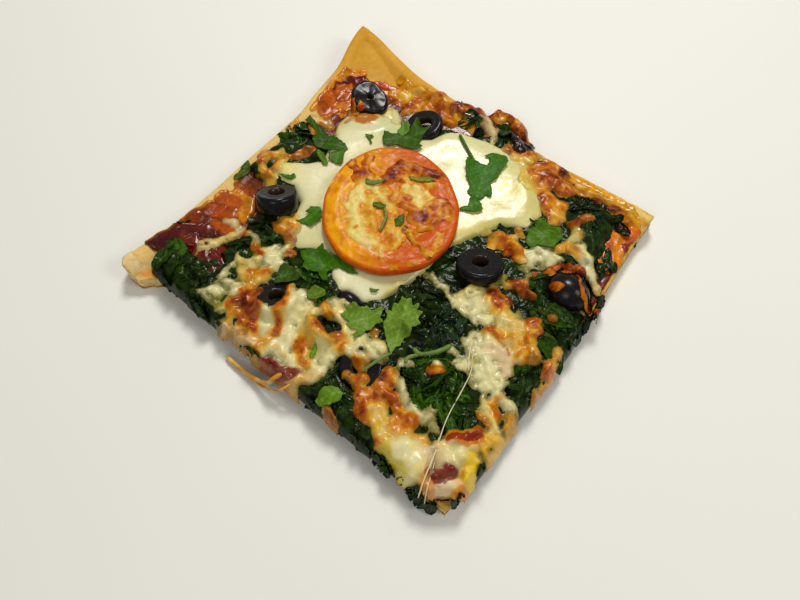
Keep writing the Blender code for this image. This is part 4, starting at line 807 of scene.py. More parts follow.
# Coriander leaves: the solid that each stands for, its outline and its shade
LEAVES = [row.split("|") for row in """
leaf_5|9 62 14 63 16.5 61 17 55 18 50 17 46 19 45 21.5 42 22 40.5 19.5 40 19.5 37 17 35.5 12 36 11.5 39 9 41
6 43 4 46 2.5 47 1 50 4 52 8 52.5 10 53.5 10 56 8 57.5 6 57 7 60|58 112 26;
leaf_6|15 36.5 19 36 21 35 23.5 32.5 22 30 20 28.5 17 27 15 26 15.5 28.5 17 30 16.5 32 15.5 33|60 112 28;
leaf_4|-32 54 -26 55 -23 54 -23 49 -22 44 -21 43 -19 42.5 -19.5 39 -24 37 -29 36.5 -31 33.5 -34 32.5 -37 35
-39 39 -38 39.5 -35 40 -33 42 -30 44 -31 50|56 92 34;
leaf_3|-40 53 -36 52 -32 49 -30 46 -31 42 -33 41.5 -35 44 -36 48 -39 51|96 132 66;
|-45 32 -42.5 33.8 -40.8 33.4 -41.2 31.5 -39 30 -38.8 28.8 -41 30.4 -43 31|66 96 36;
leaf_1|-76 26.5 -70 25 -65 25 -60 23 -57 21 -56 17 -56 13 -59 12 -62 14 -64 18 -66 21 -71 22 -75 22|52 86 32;
leaf_2|-57 22.5 -52 21.5 -48 21.5 -45 20 -45.5 18 -50 15 -53 13.5 -56 13 -56.5 17|54 92 32;
|-46 19.5 -44 16 -42 13.5 -41.5 11 -44 10 -48 10 -50 12.5 -48 15.5|70 112 42;
|-57 12 -53 12 -50 10 -47 8.5 -46 7 -48 6 -51 8 -54 9 -56 10|82 118 48;
leaf_11|45 42 48 45 52 44.5 56 46 58.5 44 58 40 58.5 37 55 35 52 34 51 31 47 32 46 35 44.5 38 46 40|74 118
38;
leaf_12|-80 -12 -77 -13 -74 -16 -74 -20 -76 -24 -78 -23 -78 -19 -80 -16|66 92 44;
leaf_15|-55 -5.5 -53 -6.5 -54 -9 -57 -9.8 -61 -10 -58 -8.5 -56 -7.5|64 104 32;
leaf_7|-33 -12 -30 -13.5 -28.5 -16 -29 -22 -32 -22.5 -36 -24 -34.5 -20 -34 -17 -36 -18 -36 -14.5|64 116 26;
leaf_8|-19 -25 -17 -26.5 -12 -26.5 -7 -25 -2 -26 2.5 -26.5 -1 -28.5 -6 -29 -8 -31 -9 -34 -5 -37 -6 -39
-9 -38 -12 -36 -15 -39 -18 -39 -20 -36 -23 -35 -25.5 -33 -23 -30 -20 -28.5|58 108 24;
|-26 -42 -22 -41 -19 -40.5 -15 -42 -17 -46 -20 -50 -22 -52 -25 -48 -26 -45|54 84 34;
|-8 -42 -3 -41 -1 -43 -3 -47 -5 -49 -8 -47|84 118 52;
leaf_10|36.7 -45.5 32.3 -42.6 28.4 -39.6 25.8 -37.3 25.3 -34.1 22.4 -31.9 24.8 -30.9 22.9 -27.8 25.4 -26.7
24.5 -23.7 27 -24.2 28.2 -22.1 30.4 -24.4 32.4 -21.9 33.5 -25 36 -24.3 36.1 -27.8 38.6 -28.8 36.6 -31.9
37.7 -34.5 36.2 -36.7 37 -39.5 36 -42.1|110 140 62;
leaf_9|9.6 -45.3 10.6 -42.6 8.2 -41.8 11.1 -40.3 10.5 -38.7 13.9 -37.7 14.9 -35 17.7 -35.3 19 -32.9
19.4 -30.7 22 -33.1 23 -36 25.5 -37 23.1 -39.5 23.5 -41.9 22 -44 22.4 -46.4 21.4 -49.9 19.5 -48.8 19.6 -46
16.7 -47.5 13.9 -47.2 14.4 -44.9 11.1 -45.9|108 138 60;
leaf_13|27 -71 30 -69.5 33.5 -70 34 -73 32 -77 29 -79.5 26 -79 25.5 -75|98 130 48;
|10.5 -61.5 13 -63.5 13.5 -66 12 -67 11 -64|104 146 50;
|10 -28 12 -27.5 14 -26 13.5 -28 12 -29|84 116 44;
leaf_14|-25 10 -22 10.5 -19 13 -17.5 16 -18 12 -20 9 -23 8|104 124 66;
|-11 23 -8 25 -4 28 0 29.5 -2 26.5 -6 23.5 -9 22.5|112 124 50;
|-14 2 -12 4.5 -9 5 -7.5 3.5 -10 2 -12.5 1|74 104 38;
|0 6.5 2 5 3 2 1.5 -0.5 -1 1.5 -0.5 4|66 98 34
""".split(";")]
# Stems: the solid that each stands for, points, radius and colour
STEMS = [row.split("|") for row in """
stalk_1|-10 59 -6 56.5 0 53.5 5 51|0.75 74 104 44;
stalk_2|-8 3 -4.5 0 -2 -7|0.7 132 138 78;
|36.5 -45 35.8 -51 33 -59|0.7 118 142 84;
|53 -27 51 -33 46 -38 42 -37.5|1 112 134 76;
|46 -38 43 -42 44 -45|0.9 120 142 84
""".split(";")]
# Threads of cheese: points and radius
THREADS = strokes("""
60 -19 63 -26 66 -31 69 -41 72 -55 78 -71 82 -80|0.22;
58 -20 62 -27 65 -31|0.28;
72 -56 76 -66 79 -76 81 -82|0.3;
73 -60 78 -69 82 -78 84 -82|0.2
""")
# Strands that hang over the front cut: points in space and radius
STRANDS = (
    (((9, -76, 12.5), (7, -82, 12.5), (5, -85, 9.0), (-1, -86, 4.5), (-10, -86.5, 2.4), (-20, -86.5, 1.8)),
     0.95),
    (((14, -78, 12.0), (12, -83, 10.5), (8, -85.5, 6.0), (0, -86.8, 3.0), (-8, -87.2, 1.4)), 0.6),
)

# The crust's sides, each as (share of the way along it, place across)
CRUST_LEFT = ((0.0, -84.5), (0.07, -83.0), (0.12, -81.0), (0.6, -81.5), (0.8, -86.0), (1.0, -92.0))
CRUST_RIGHT = ((0.0, 91.5), (0.5, 89.0), (1.0, 82.5))
CRUST_FRONT = (
    (0.0, -84.5), (0.03, -87.6), (0.065, -87.4), (0.09, -83.0), (0.115, -79.0), (0.5, -79.5), (1.0, -78.5),
)
CRUST_BACK = ((0.0, 84.0), (0.3, 79.5), (0.65, 79.0), (1.0, 83.0))


def drawn(table, height, onto=None):
    """Thickness, colour and browning of a set of strokes, with those of the strokes before them."""
    thick, tone, brown = onto or (np.zeros(X.shape), np.zeros((*X.shape, 3)), np.zeros(X.shape))
    for points, (radius, amount, colour, toasting) in table:
        window, share = stroke(lifted(points, height), radius * 1.08)
        weight = (amount * np.sqrt(share)) ** SHARP
        old = thick[window] ** SHARP
        total = np.maximum(old + weight, 1e-9)
        tone[window] = (tone[window] * old[..., None] + colour * weight[..., None]) / total[..., None]
        brown[window] = (brown[window] * old + toasting * weight) / total
        thick[window] = (old + weight) ** (1 / SHARP)
    return thick, tone, brown


def browned(tone, brown, seed, size=3.3):
    """The colour of cheese of a tone after browning, deepest on the tops of its blisters, and those tops."""
    near = cells(WARP_X + 2 * noise(X, Y, 5, seed + 4), WARP_Y, size, seed) + 0.5 * noise(X, Y, 2.4, seed + 1)
    tops = smooth(1.1 - near / 0.7)
    patch = 0.6 * rough(X, Y, 7.0, seed + 2, 4) + 0.14 * rough(X, Y, 1.4, seed + 3)
    level = np.clip(brown * (0.74 + 0.3 * tops) + patch * smooth(brown * 3), 0, 1)
    stops, colours = BROWNING[:, 0], linear(BROWNING[:, 1:])
    toasted = np.stack([np.interp(level, stops, colours[:, k]) for k in range(3)], axis=-1)
    return mix(tone, toasted, smooth(level / 0.3)), tops


def along(points, where):
    """The value at a place along a list of (place, value), with smooth steps between them."""
    value = np.full(np.shape(where), float(points[0][1]))
    for (low, first), (high, second) in zip(points, points[1:]):
        step = first + (second - first) * smooth((where - low) / (high - low))
        value = np.where(where >= low, step, value)
    return value


def crust_shares(x, y):
    """How far a place lies across the crust and back along it, from 0 to 1."""
    across = (x - CRUST_LEFT[-1][1]) / (CRUST_RIGHT[-1][1] - CRUST_LEFT[-1][1])
    back = (y - CRUST_FRONT[-1][1]) / (CRUST_BACK[-1][1] - CRUST_FRONT[-1][1])
    return across, back


def crust_edge(x, y):
    """Distance to the nearer crust side."""
    across, back = crust_shares(x, y)
    return np.minimum(x - along(CRUST_LEFT, back), along(CRUST_BACK, across) - y)


def corner_reach(x, y):
    """Distance to the bare corner of the crust."""
    return np.hypot(x - CRUST_LEFT[-1][1], y - CRUST_BACK[0][1])


def bready(x, y):
    """How much a place lies on the coarse rim towards the right corner."""
    return smooth((x - 50) / 12) * smooth((y - 72.5) / 2.5)


def torn(x, y):
    """How much a place lies on the torn crumb at the left corner."""
    return smooth((-y - 78.8) / 2.0) * smooth((-66.0 - x) / 6.0)


def crust_heights(x, y):
    """Top and underside of the dough."""
    edge = crust_edge(x, y)
    reach = corner_reach(x, y)
    rim = 3.4 * smooth(1 - (edge - 4.0) / 8.0)
    bare = 2.4 * smooth(1 - (reach - 16.0) / 26.0)
    lift = 6.5 * smooth(1 - reach / 46.0) ** 1.3
    shoulder = 3.0 * (1 - np.sqrt(1 - (1 - np.clip(edge / 2.6, 0, 1)) ** 2))
    relief = 0.45 * noise(x, y, 14, 3) + 0.12 * rough(x, y, 3.0, 4)
    crumb = 2.2 + 0.9 * rough(x, y, 3.0, 5) - 1.0 * smooth(1 - cells(x, y, 2.4, 6) / 0.4)
    relief = relief + torn(x, y) * crumb
    relief = relief + bready(x, y) * (0.55 * rough(x, y, 3.4, 8) + 0.3 * rough(x, y, 1.5, 9))
    top = DOUGH + np.maximum(rim, bare) - shoulder + relief * smooth(rim / 2) + lift
    return top, 0.9 * (1 - smooth(edge / 2.5)) + lift


def crust_colour(x, y, low):
    """Golden on top, pale at the long side and paler towards the underside."""
    pale = (233, 204, 140)
    edge = crust_edge(x, y)
    reach = corner_reach(x, y)
    colour = mix((220, 170, 84), (202, 145, 60), smooth(0.5 + 0.9 * rough(x, y, 16, 31)) * 0.55)
    colour = mix(colour, (196, 132, 46), smooth(1 - reach / 22) * 0.35)
    colour = mix(colour, pale, smooth((reach - 22) / 24) * smooth((x + 62) / -8) * 0.85)
    colour = mix(colour, (222, 160, 66), smooth((reach - 50) / 30) * smooth((y - 60) / 12) * 0.6)
    colour = mix(colour, (232, 196, 112), smooth((x - 66) / 14) * 0.7)
    colour = mix(colour, (240, 216, 150), smooth(1 - edge / 2.2) * smooth((reach - 30) / 30) * 0.6)
    flecks = mix((240, 214, 142), (214, 150, 62), smooth(0.45 + 1.5 * rough(x, y, 2.6, 10)))
    colour = mix(colour, flecks, bready(x, y) * 0.85)
    crumb = mix((238, 216, 166), (214, 170, 100), smooth(0.3 + 1.5 * rough(x, y, 3.0, 7)))
    crumb = mix(crumb, (214, 132, 40), smooth((x + 76) / 4) * smooth((y + 86) / 3) * 0.8)
    colour = mix(colour, crumb, torn(x, y))
    return mix(colour, pale, low * 0.75)


def make_crust():
    """The dough: its top, its underside and, between them, crumb on the cuts and crust on the other sides."""
    us = np.concatenate([np.linspace(0, 0.09, 26), np.linspace(0.094, 1, 150)])
    vs = np.concatenate([np.linspace(0, 0.86, 128), np.linspace(0.866, 1, 34)])
    U, V = np.meshgrid(us, vs)
    left, right = along(CRUST_LEFT, V), along(CRUST_RIGHT, V)
    front, back = along(CRUST_FRONT, U), along(CRUST_BACK, U)
    x, y = left + (right - left) * U, front + (back - front) * V
    top, under = crust_heights(x, y)
    rows, cols = x.shape
    ring = [(0, c) for c in range(cols)] + [(r, cols - 1) for r in range(1, rows)]
    ring += [(rows - 1, c) for c in range(cols - 2, -1, -1)] + [(r, 0) for r in range(rows - 2, 0, -1)]
    rr, rc = np.array(ring).T
    index = numbered(x.shape)
    verts = [np.stack([x, y, z], -1).reshape(-1, 3) for z in (top, under)]
    base = mix((206, 150, 78), (158, 96, 42), smooth(0.5 + 1.2 * rough(x, y, 9, 41)))
    tints = [crust_colour(x, y, np.zeros(x.shape)).reshape(-1, 3), base.reshape(-1, 3)]
    levels = 9
    ex, ey = x[rr, rc], y[rr, rc]
    out = np.stack([np.roll(ey, -1) - np.roll(ey, 1), np.roll(ex, 1) - np.roll(ex, -1)], -1)
    out /= np.maximum(np.linalg.norm(out, axis=1, keepdims=True), 1e-9)
    cut = ((rr == 0) | (rc == cols - 1)).astype(float)
    run = np.cumsum(np.hypot(ex - np.roll(ex, 1), ey - np.roll(ey, 1)))
    for level in range(1, levels):
        t = level / levels
        z = top[rr, rc] * (1 - t) + under[rr, rc] * t
        crumb = 0.55 * rough(run, z, 2.6, 51) - 0.9 * smooth(1 - cells(run, z, 2.3, 52) / 0.42)
        push = np.where(cut > 0, crumb - 0.2, 0.5 * math.sin(math.pi * t) + 0.1 * rough(run, z, 4, 53))
        verts.append(np.stack([ex + out[:, 0] * push, ey + out[:, 1] * push, z], -1))
        inner = mix((236, 212, 158), (206, 168, 104), smooth(-crumb * 0.9 + 0.1))
        inner = mix(inner, (190, 126, 60), smooth((t - 0.72) / 0.25) * 0.8)
        tints.append(mix(crust_colour(ex, ey, np.full(ex.shape, t)), inner, cut))
    sides = numbered((levels - 1, len(ring))) + 2 * x.size
    sides = np.vstack([index[rr, rc], sides, index[rr, rc] + x.size])
    quads = grid_quads(index)
    faces = np.concatenate([quads, quads[:, ::-1] + x.size, bands(sides)[:, OVER]])
    new_piece("crust_baked", np.concatenate(verts), faces, ["crust"], "crust", np.concatenate(tints))
    flat_top, _ = crust_heights(X, Y)
    right_edge = along(CRUST_RIGHT, crust_shares(X, Y)[1])
    front_edge = along(CRUST_FRONT, np.maximum(crust_shares(X, Y)[0], 0.12))
    rounding = 7.0
    beyond = np.maximum(X - right_edge + rounding, 0), np.maximum(front_edge - Y + rounding, 0)
    out_by = np.hypot(*beyond) - rounding
    on = (crust_edge(X, Y) > -0.2) & (X < right_edge) & (Y > front_edge)
    return np.where(on, flat_top, 0.0), out_by


def make_sauce(dough, out_by):
    """Sauce over the dough, thick and glossy where it shows."""
    thick = np.zeros(X.shape)
    colour = linear((104, 34, 18)) + np.zeros((*X.shape, 3))
    for points, (radius, amount, *shade) in SAUCE:
        window, share = stroke(lifted(points, SAUCE_HEIGHT), radius * 1.1)
        thick[window] = np.maximum(thick[window], amount * smooth(share * 1.4))
        colour[window] = mix(colour[window], shade, smooth(share * 1.6))
    spread = blur(np.where(np.isnan(top_of(["sauce"])), 0.0, 1.0), 1.0)
    film = 1.1 * smooth((spread - 0.35) * 3) + thick
    relief = 0.12 * rough(X, Y, 3.2, 61) + 0.3 * rough(X, Y, 9, 62)
    dark = smooth(0.5 + 1.4 * rough(X, Y, 5.5, 63))
    colour = colour * (0.75 + 0.4 * dark)[..., None]
    edge = smooth(1 - (film - 0.25) / 0.7)
    colour = mix(colour, (214, 142, 58), edge * 0.85 * (1 - LOBE))
    back = smooth((Y - 64) / 8) * smooth((X + 30) / 20)
    rim = smooth((Y + 52) / 10) * 3.0 * (1 - 0.75 * back) + 0.4 + 0.8 * noise(X, Y, 5, 64)
    near = crust_edge(X, Y) - rim
    colour = mix(colour, (212, 146, 66), smooth(1 - near / 3.2) * 0.8 * (1 - LOBE))
    film = film * smooth(near / 2.4 + 0.4)
    height = dough + film + relief * smooth(film) - 0.2 * (1 - smooth(film / 0.5))
    mask = (film > 0.12) & (dough > 0) & (out_by < -0.3)
    field_piece("sauce_spread", height, mask, ["sauce"], "sauce", colour)
    return np.where(mask, height, dough), thick, colour


def sheet(length, width, waves, seed):
    """A limp leaf of unit middle: points, faces, and how near each point is to a vein."""
    u, v = np.meshgrid(np.linspace(-1, 1, 9), np.linspace(-1, 1, 15))
    k = seed * 37.0
    outline = np.sqrt(np.maximum(1 - np.abs(v) ** 2.2, 0)) * (1 + 0.22 * noise(v * 2 + k, v * 0, 0.7, seed))
    x = u * width * (0.12 + 0.88 * outline)
    y = v * length
    fold = rng.uniform(-0.55, 0.55) * np.abs(u) * width
    pleat = (u * rng.uniform(1.1, 1.9) + 0.5 * noise(v * 1.6 + k, v * 0, 0.8, seed + 3) + k) % 1.0
    ripple = waves * (0.8 * noise(x + k, y, 3.4, seed + 1) + 0.9 * smooth(1 - np.abs(pleat * 2 - 1)))
    bend = -0.05 * v * v * length * rng.uniform(0.2, 1.6)
    x = x * (1 - 0.12 * waves) + 0.12 * length * np.sin(v * rng.uniform(0.8, 2.4) + k)
    side = np.abs(((np.abs(u) * 1.2 - v * length / width * 0.9 + 40) / 0.8) % 1.0 - 0.5)
    vein = np.maximum(np.exp(-((u / 0.13) ** 2)), 0.5 * np.exp(-((side / 0.13) ** 2)))
    points = np.stack([x, y, fold + ripple + bend], -1).reshape(-1, 3)
    return points, grid_quads(numbered(u.shape)), vein.ravel()


# Where the leaves of the front cut hang
FRONT_CUT = -79.4


def right_cut(y):
    """Where the right cut lies across the plan at a place along it."""
    return 91.8 - 5.2 * (y + 79) / 160


def turn(axis, angle):
    """A rotation about an axis by radians."""
    return Matrix.Rotation(angle, 3, axis)


def make_spinach(below, under, thick_sauce, out_by):
    """Wilted leaves: a crinkled mass over the sauce with limp sheets lying in it and over the cuts."""
    names = [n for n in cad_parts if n.startswith("spinach")]
    top = top_of([n for n in names if "tip" not in n])
    covered = ~np.isnan(top)
    mass = blur(np.where(covered, top, below + 0.5), 1.4)
    crinkle = 1.2 * (0.45 - np.abs(rough(X, Y, 7.5, 71, 2))) + 0.5 * (0.4 - np.abs(noise(X, Y, 3.2, 72)))
    height = mass + crinkle - 3.6 * smooth(thick_sauce / 0.8)
    colour = mix((16, 24, 11), (36, 52, 19), smooth(0.5 + 1.5 * rough(X, Y, 4.0, 73)))
    # Lighter where the crinkles rise: painted light on the ridges and painted shade in the creases
    colour = mix(colour, (56, 72, 30), smooth(crinkle * 1.4 - 0.35) * 0.5)
    corner = smooth((out_by + 4) / 3) * smooth((X - 78) / 6) * smooth((-68 - Y) / 4)
    colour = mix(colour, (96, 60, 26), corner * smooth(0.6 + 1.5 * rough(X, Y, 4, 74)) * 0.8)
    mask = covered & (height > below - 0.4) & ((out_by < -1.5) | (X < 78) | (Y > -68))
    field_piece("spinach_mass", height, mask, names[:1], "spinach", colour, 3.0)
    under = np.where((mask & (height > below))[..., None], colour, under)
    ground = np.where(mask, np.maximum(height, below), below)
    settled = blur(np.maximum(ground, 2.0), 1.6)
    points, faces, tints = [], [], []
    number = 0

    def add(leaf, quads, vein, base, pale):
        leaf[:, 2] += max(0.0, 0.7 - leaf[:, 2].min())
        uneven = 1 + 0.3 * rough(leaf[:, 0], leaf[:, 1] + leaf[:, 2], 2.6, 75)
        tints.append(mix(base, (126, 140, 74), vein * pale) * uneven[:, None])
        faces.append(quads + len(leaf) * len(points))
        points.append(leaf)

    for *numbers, shade in HEAPS:
        cx, cy, rx, ry, sheets = (float(n) for n in numbers)
        (cx, cy), = lifted([(cx, cy)], SPINACH_HEIGHT)
        grain = rng.uniform(0, math.pi)
        for _ in range(int(sheets * 1.3)):
            number += 1
            a, r = rng.uniform(0, math.tau), math.sqrt(rng.uniform(0, 1))
            x0, y0 = cx + rx * r * math.cos(a), cy + ry * r * math.sin(a)
            if height_at(out_by, np.array([x0]), np.array([y0]))[0] > -2.0:
                continue
            large = 1.5 if rx * ry > 80 else 1.0
            length = rng.uniform(3.6, 7.5) * large
            waves = rng.uniform(0.7, 1.5) * large
            leaf, quads, vein = sheet(length, length * rng.uniform(0.34, 0.6), waves, number)
            heading = turn("Z", grain + rng.normal(0, 0.6))
            lean = turn("X", rng.normal(0, 0.22)) @ turn("Y", rng.normal(0, 0.4))
            leaf = leaf @ np.array(heading @ lean).T + (x0, y0, 0)
            leaf[:, 2] += height_at(settled, leaf[:, 0], leaf[:, 1]) + rng.uniform(-1.3, 0.2)
            add(leaf, quads, vein, linear(SHADES[shade]) * rng.uniform(0.35, 1.55), 0.2)
    # Leaves that hang over the front and the right cut
    for _ in range(HANGING_LEAVES):
        number += 1
        front = rng.uniform() < 0.55
        if front:
            x0, y0 = rng.uniform(-66, 84), FRONT_CUT + rng.uniform(-0.6, 0.9)
        else:
            y0 = rng.uniform(-72, 32)
            x0 = right_cut(y0) + rng.uniform(-1.2, 0.3)
        length = rng.uniform(3.0, 5.6)
        leaf, quads, vein = sheet(length, length * rng.uniform(0.4, 0.7), rng.uniform(0.7, 1.3), number)
        spin = np.array(turn("Z", rng.normal(0, 0.5)))
        stand = np.array(turn("X", math.radians(rng.normal(83, 6))))
        face = np.array(turn("Z", 0.0 if front else math.pi / 2))
        leaf = leaf @ (face @ stand @ spin).T + (x0, y0, rng.uniform(4.8, 10.5))
        shade = str(rng.choice(["dark", "dark", "black", "blue", "mid"]))
        add(leaf, quads, vein, linear(SHADES[shade]) * rng.uniform(0.4, 1.0), 0.08)
    for *place, heading, length in FOLDS:
        number += 1
        leaf, quads, vein = sheet(length, length * 0.62, 0.6, number)
        stand = np.array(turn("X", math.radians(74)))
        face = np.array(turn("Z", math.radians(heading)))
        leaf = leaf @ (face @ stand).T + place
        add(leaf, quads, vein, linear(SHADES["dark"]) * 0.8, 0.1)
    points = np.concatenate(points)
    replaced = names[1:] + ["leaf_16"]
    new_piece("spinach_leaves", points, np.concatenate(faces), replaced, "spinach", np.concatenate(tints))
    return splat(ground, points), ground, under


def make_mozzarella(ground, under):
    """The soft puddle, its edge rounded and its top almost level, with a browned dome at the back."""
    solid = top_of(["mozzarella"])
    wavy = X + 0.7 * noise(X, Y, 7, 81), Y + 0.7 * noise(X, Y, 7, 82)
    edge = inside(*wavy, lifted(MOZZARELLA, PUDDLE_HEIGHT))
    base = np.maximum(np.where(np.isnan(solid), ground + 1.4, solid), ground + 0.3)
    base = blur(np.where(edge > -4, base, ground), 3.2)
    height = base + 0.35 * noise(X, Y, 12, 83) * smooth(edge / 4) + 0.05 * rough(X, Y, 3, 84)
    height = height - 2.6 * np.exp(-np.maximum(edge, 0) / 1.3) - 2.5 * smooth(-edge / 1.5)
    wide, deep = (X + 51.5) * 0.81 + (Y - 39.5) * 0.59, (Y - 39.5) * 0.81 - (X + 51.5) * 0.59
    dome = smooth(1.3 - np.hypot(wide / 10.5, deep / 7))
    height = height + 3.4 * dome
    # Below the tomato it stays low
    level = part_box("tomato_slice")[0].z / MM
    height = np.where(np.hypot(X + 9.0, Y - 5.0) < 30, np.minimum(height, level + 0.1), height)
    colour = linear((230, 225, 176)) + np.zeros((*X.shape, 3))
    # The mozzarella's tones, with painted light under the tomato's shadow and on its left part, and painted
    # shade on its right end
    for points, (radius, *shade) in MOZZARELLA_TONES_AND_PAINTED_LIGHT:
        window, share = stroke(lifted(points, PUDDLE_HEIGHT), radius)
        colour[window] = mix(colour[window], shade, smooth(share) * 0.75)
    colour = mix(colour, (206, 200, 116), np.exp(-np.maximum(edge, 0) / 1.8) * 0.6)
    clear = smooth(1 - edge / 3.4 - 0.25 + 0.5 * rough(X, Y, 4.5, 86))
    colour = mix(colour, mix(under, (196, 186, 92), 0.5), clear * 0.6)
    toasting = smooth((dome - 0.62) / 0.3 + 0.7 * rough(X, Y, 3.4, 87) + 0.05 * deep)
    colour = mix(colour, (222, 178, 92), smooth(toasting * 2) * 0.7 * smooth(dome * 2))
    colour = mix(colour, (176, 92, 30), smooth((toasting - 0.4) / 0.5) * 0.85 * smooth(dome * 2))
    colour = colour * (1 + 0.05 * rough(X, Y, 6, 85))[..., None]
    mask = edge > -0.8
    field_piece("mozzarella_puddle", height, mask, ["mozzarella"], "mozzarella", colour)
    return np.where(mask, np.maximum(height, ground), ground), np.where(mask[..., None], colour, under)


def make_cheese(ground, plain_ground, under, out_by):
    """Melted cheese draped over the toppings, thin and clear at its edges, with blisters where it browned."""
    thick, tone, brown = drawn(COVERS, COVER_HEIGHT, drawn(CHEESE, CHEESE_HEIGHT))
    shreds = np.zeros(X.shape)
    heavy = np.argwhere((thick > 0.5) & (brown < 0.35))
    for r, c in heavy[rng.integers(0, len(heavy), SHREDS)]:
        a = rng.uniform(0, math.pi)
        length = rng.uniform(1.5, 4.0)
        dx, dy = length * math.cos(a), length * math.sin(a)
        ends = [(XS[c] - dx, YS[r] - dy), (XS[c] + dx, YS[r] + dy)]
        window, share = stroke(ends, rng.uniform(0.7, 1.3))
        shreds[window] = np.maximum(shreds[window], share)
        bare = tone[window].sum(-1) < 0.01
        tone[window] = np.where((bare & (share > 0))[..., None], TONES["w"], tone[window])
    weight = np.minimum(thick, 1.0) + 1e-6
    near = blur(weight, 0.8)
    brown = blur(brown * weight, 0.8) / near
    tone = np.stack([blur(tone[..., k] * weight, 0.8) / near for k in range(3)], -1)
    colour, tops = browned(tone, brown, 91)
    pale = smooth(1 - brown * 3)
    # The front corner's cheese has no holes
    whole = smooth(1.6 - np.hypot((X - 78) / 20, (Y + 72) / 11))
    lace = np.maximum(smooth(0.55 + 1.9 * rough(X, Y, 4.6, 95)), whole)
    gaps = smooth((rough(X, Y, 3.6, 97) - 0.01) / 0.34) * pale * (1 - whole)
    body = thick * (0.5 + 0.5 * lace) * (1 - 0.9 * gaps) + 0.6 * shreds * (1 - whole)
    body = blur(body + 0.35 * tops * smooth(brown * 2.2) * smooth(thick), 0.7)
    inner = (out_by < -1.0) & (ground > 1)
    spread = blur(np.where(inner, ground, 0.0), 1.8) / np.maximum(blur(inner.astype(float), 1.8), 1e-3)
    soft = np.where(inner, blur(np.maximum(ground, plain_ground), 1.4), spread)
    droop = 0.55 * np.maximum(out_by + 1.5, 0) ** 1.8
    rest = np.where(inner, np.maximum(soft, 0.45 * soft + 0.55 * ground), soft) - droop
    height = rest + body - 0.6
    colour = mix(colour, (242, 236, 196), shreds * pale * 0.4)
    clear = mix(under, (184, 172, 88), 0.26)
    veil = 0.42 * rough(X, Y, 2.8, 98) + 0.24 * rough(X, Y, 1.3, 99)
    sure = np.minimum(body, 1.2 * blur(body, 1.5))
    film = smooth((sure - 0.16) / 1.7 + veil * (1 - whole) * pale)
    colour = mix(clear, colour, np.maximum(film, 0.75 * smooth(brown * 2 - 0.4)))
    colour = colour * (0.97 + 0.1 * rough(X, Y, 3.0, 96))[..., None]
    for points, (radius, share, *shade) in PAINT:
        window, near = stroke(lifted(points, PUDDLE_HEIGHT), radius)
        colour[window] = mix(colour[window], shade, smooth(near * 2.2) * share)
    mask = (body > 0.26) & (height > 1.2) & (out_by < 3.4) & ((crust_edge(X, Y) > 0.2) | (LOBE > 0))
    names = [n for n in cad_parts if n.startswith("cheese") or n in ("strand", "red_bit_1", "red_bit_2")]
    field_piece("cheese_melted", height, mask, names, "cheese", colour, 0.8)
    return np.where(mask, np.maximum(height, ground), ground), np.where(mask, height, -99)


def tuck_leaves(cheese):
    """Points of the leaves that barely break through the cheese go under it."""
    mesh = bpy.data.objects["spinach_leaves"].data
    spots = np.empty(len(mesh.vertices) * 3)
    mesh.vertices.foreach_get("co", spots)
    spots = spots.reshape(-1, 3)
    x, y = spots[:, 0] / MM + MIDDLE[0], spots[:, 1] / MM + MIDDLE[1]
    level = height_at(cheese, x, y) - 0.5
    over = spots[:, 2] / MM - level
    low = (over > 0) & (over < 2.4)
    spots[low, 2] = level[low] * MM
    mesh.vertices.foreach_set("co", spots.ravel())
    mesh.update()


def oval(angle):
    """Reach of the tomato's edge, which is a little longer one way."""
    return 1.015 + 0.05 * np.cos(2 * (angle - TOMATO_LONG))


def box_of(name):
    """A node's lowest and highest corners in millimetres."""
    return [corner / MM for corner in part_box(name)]


def around(count):
    """Angles of a ring of points."""
    return np.linspace(0, math.tau, count, endpoint=False)


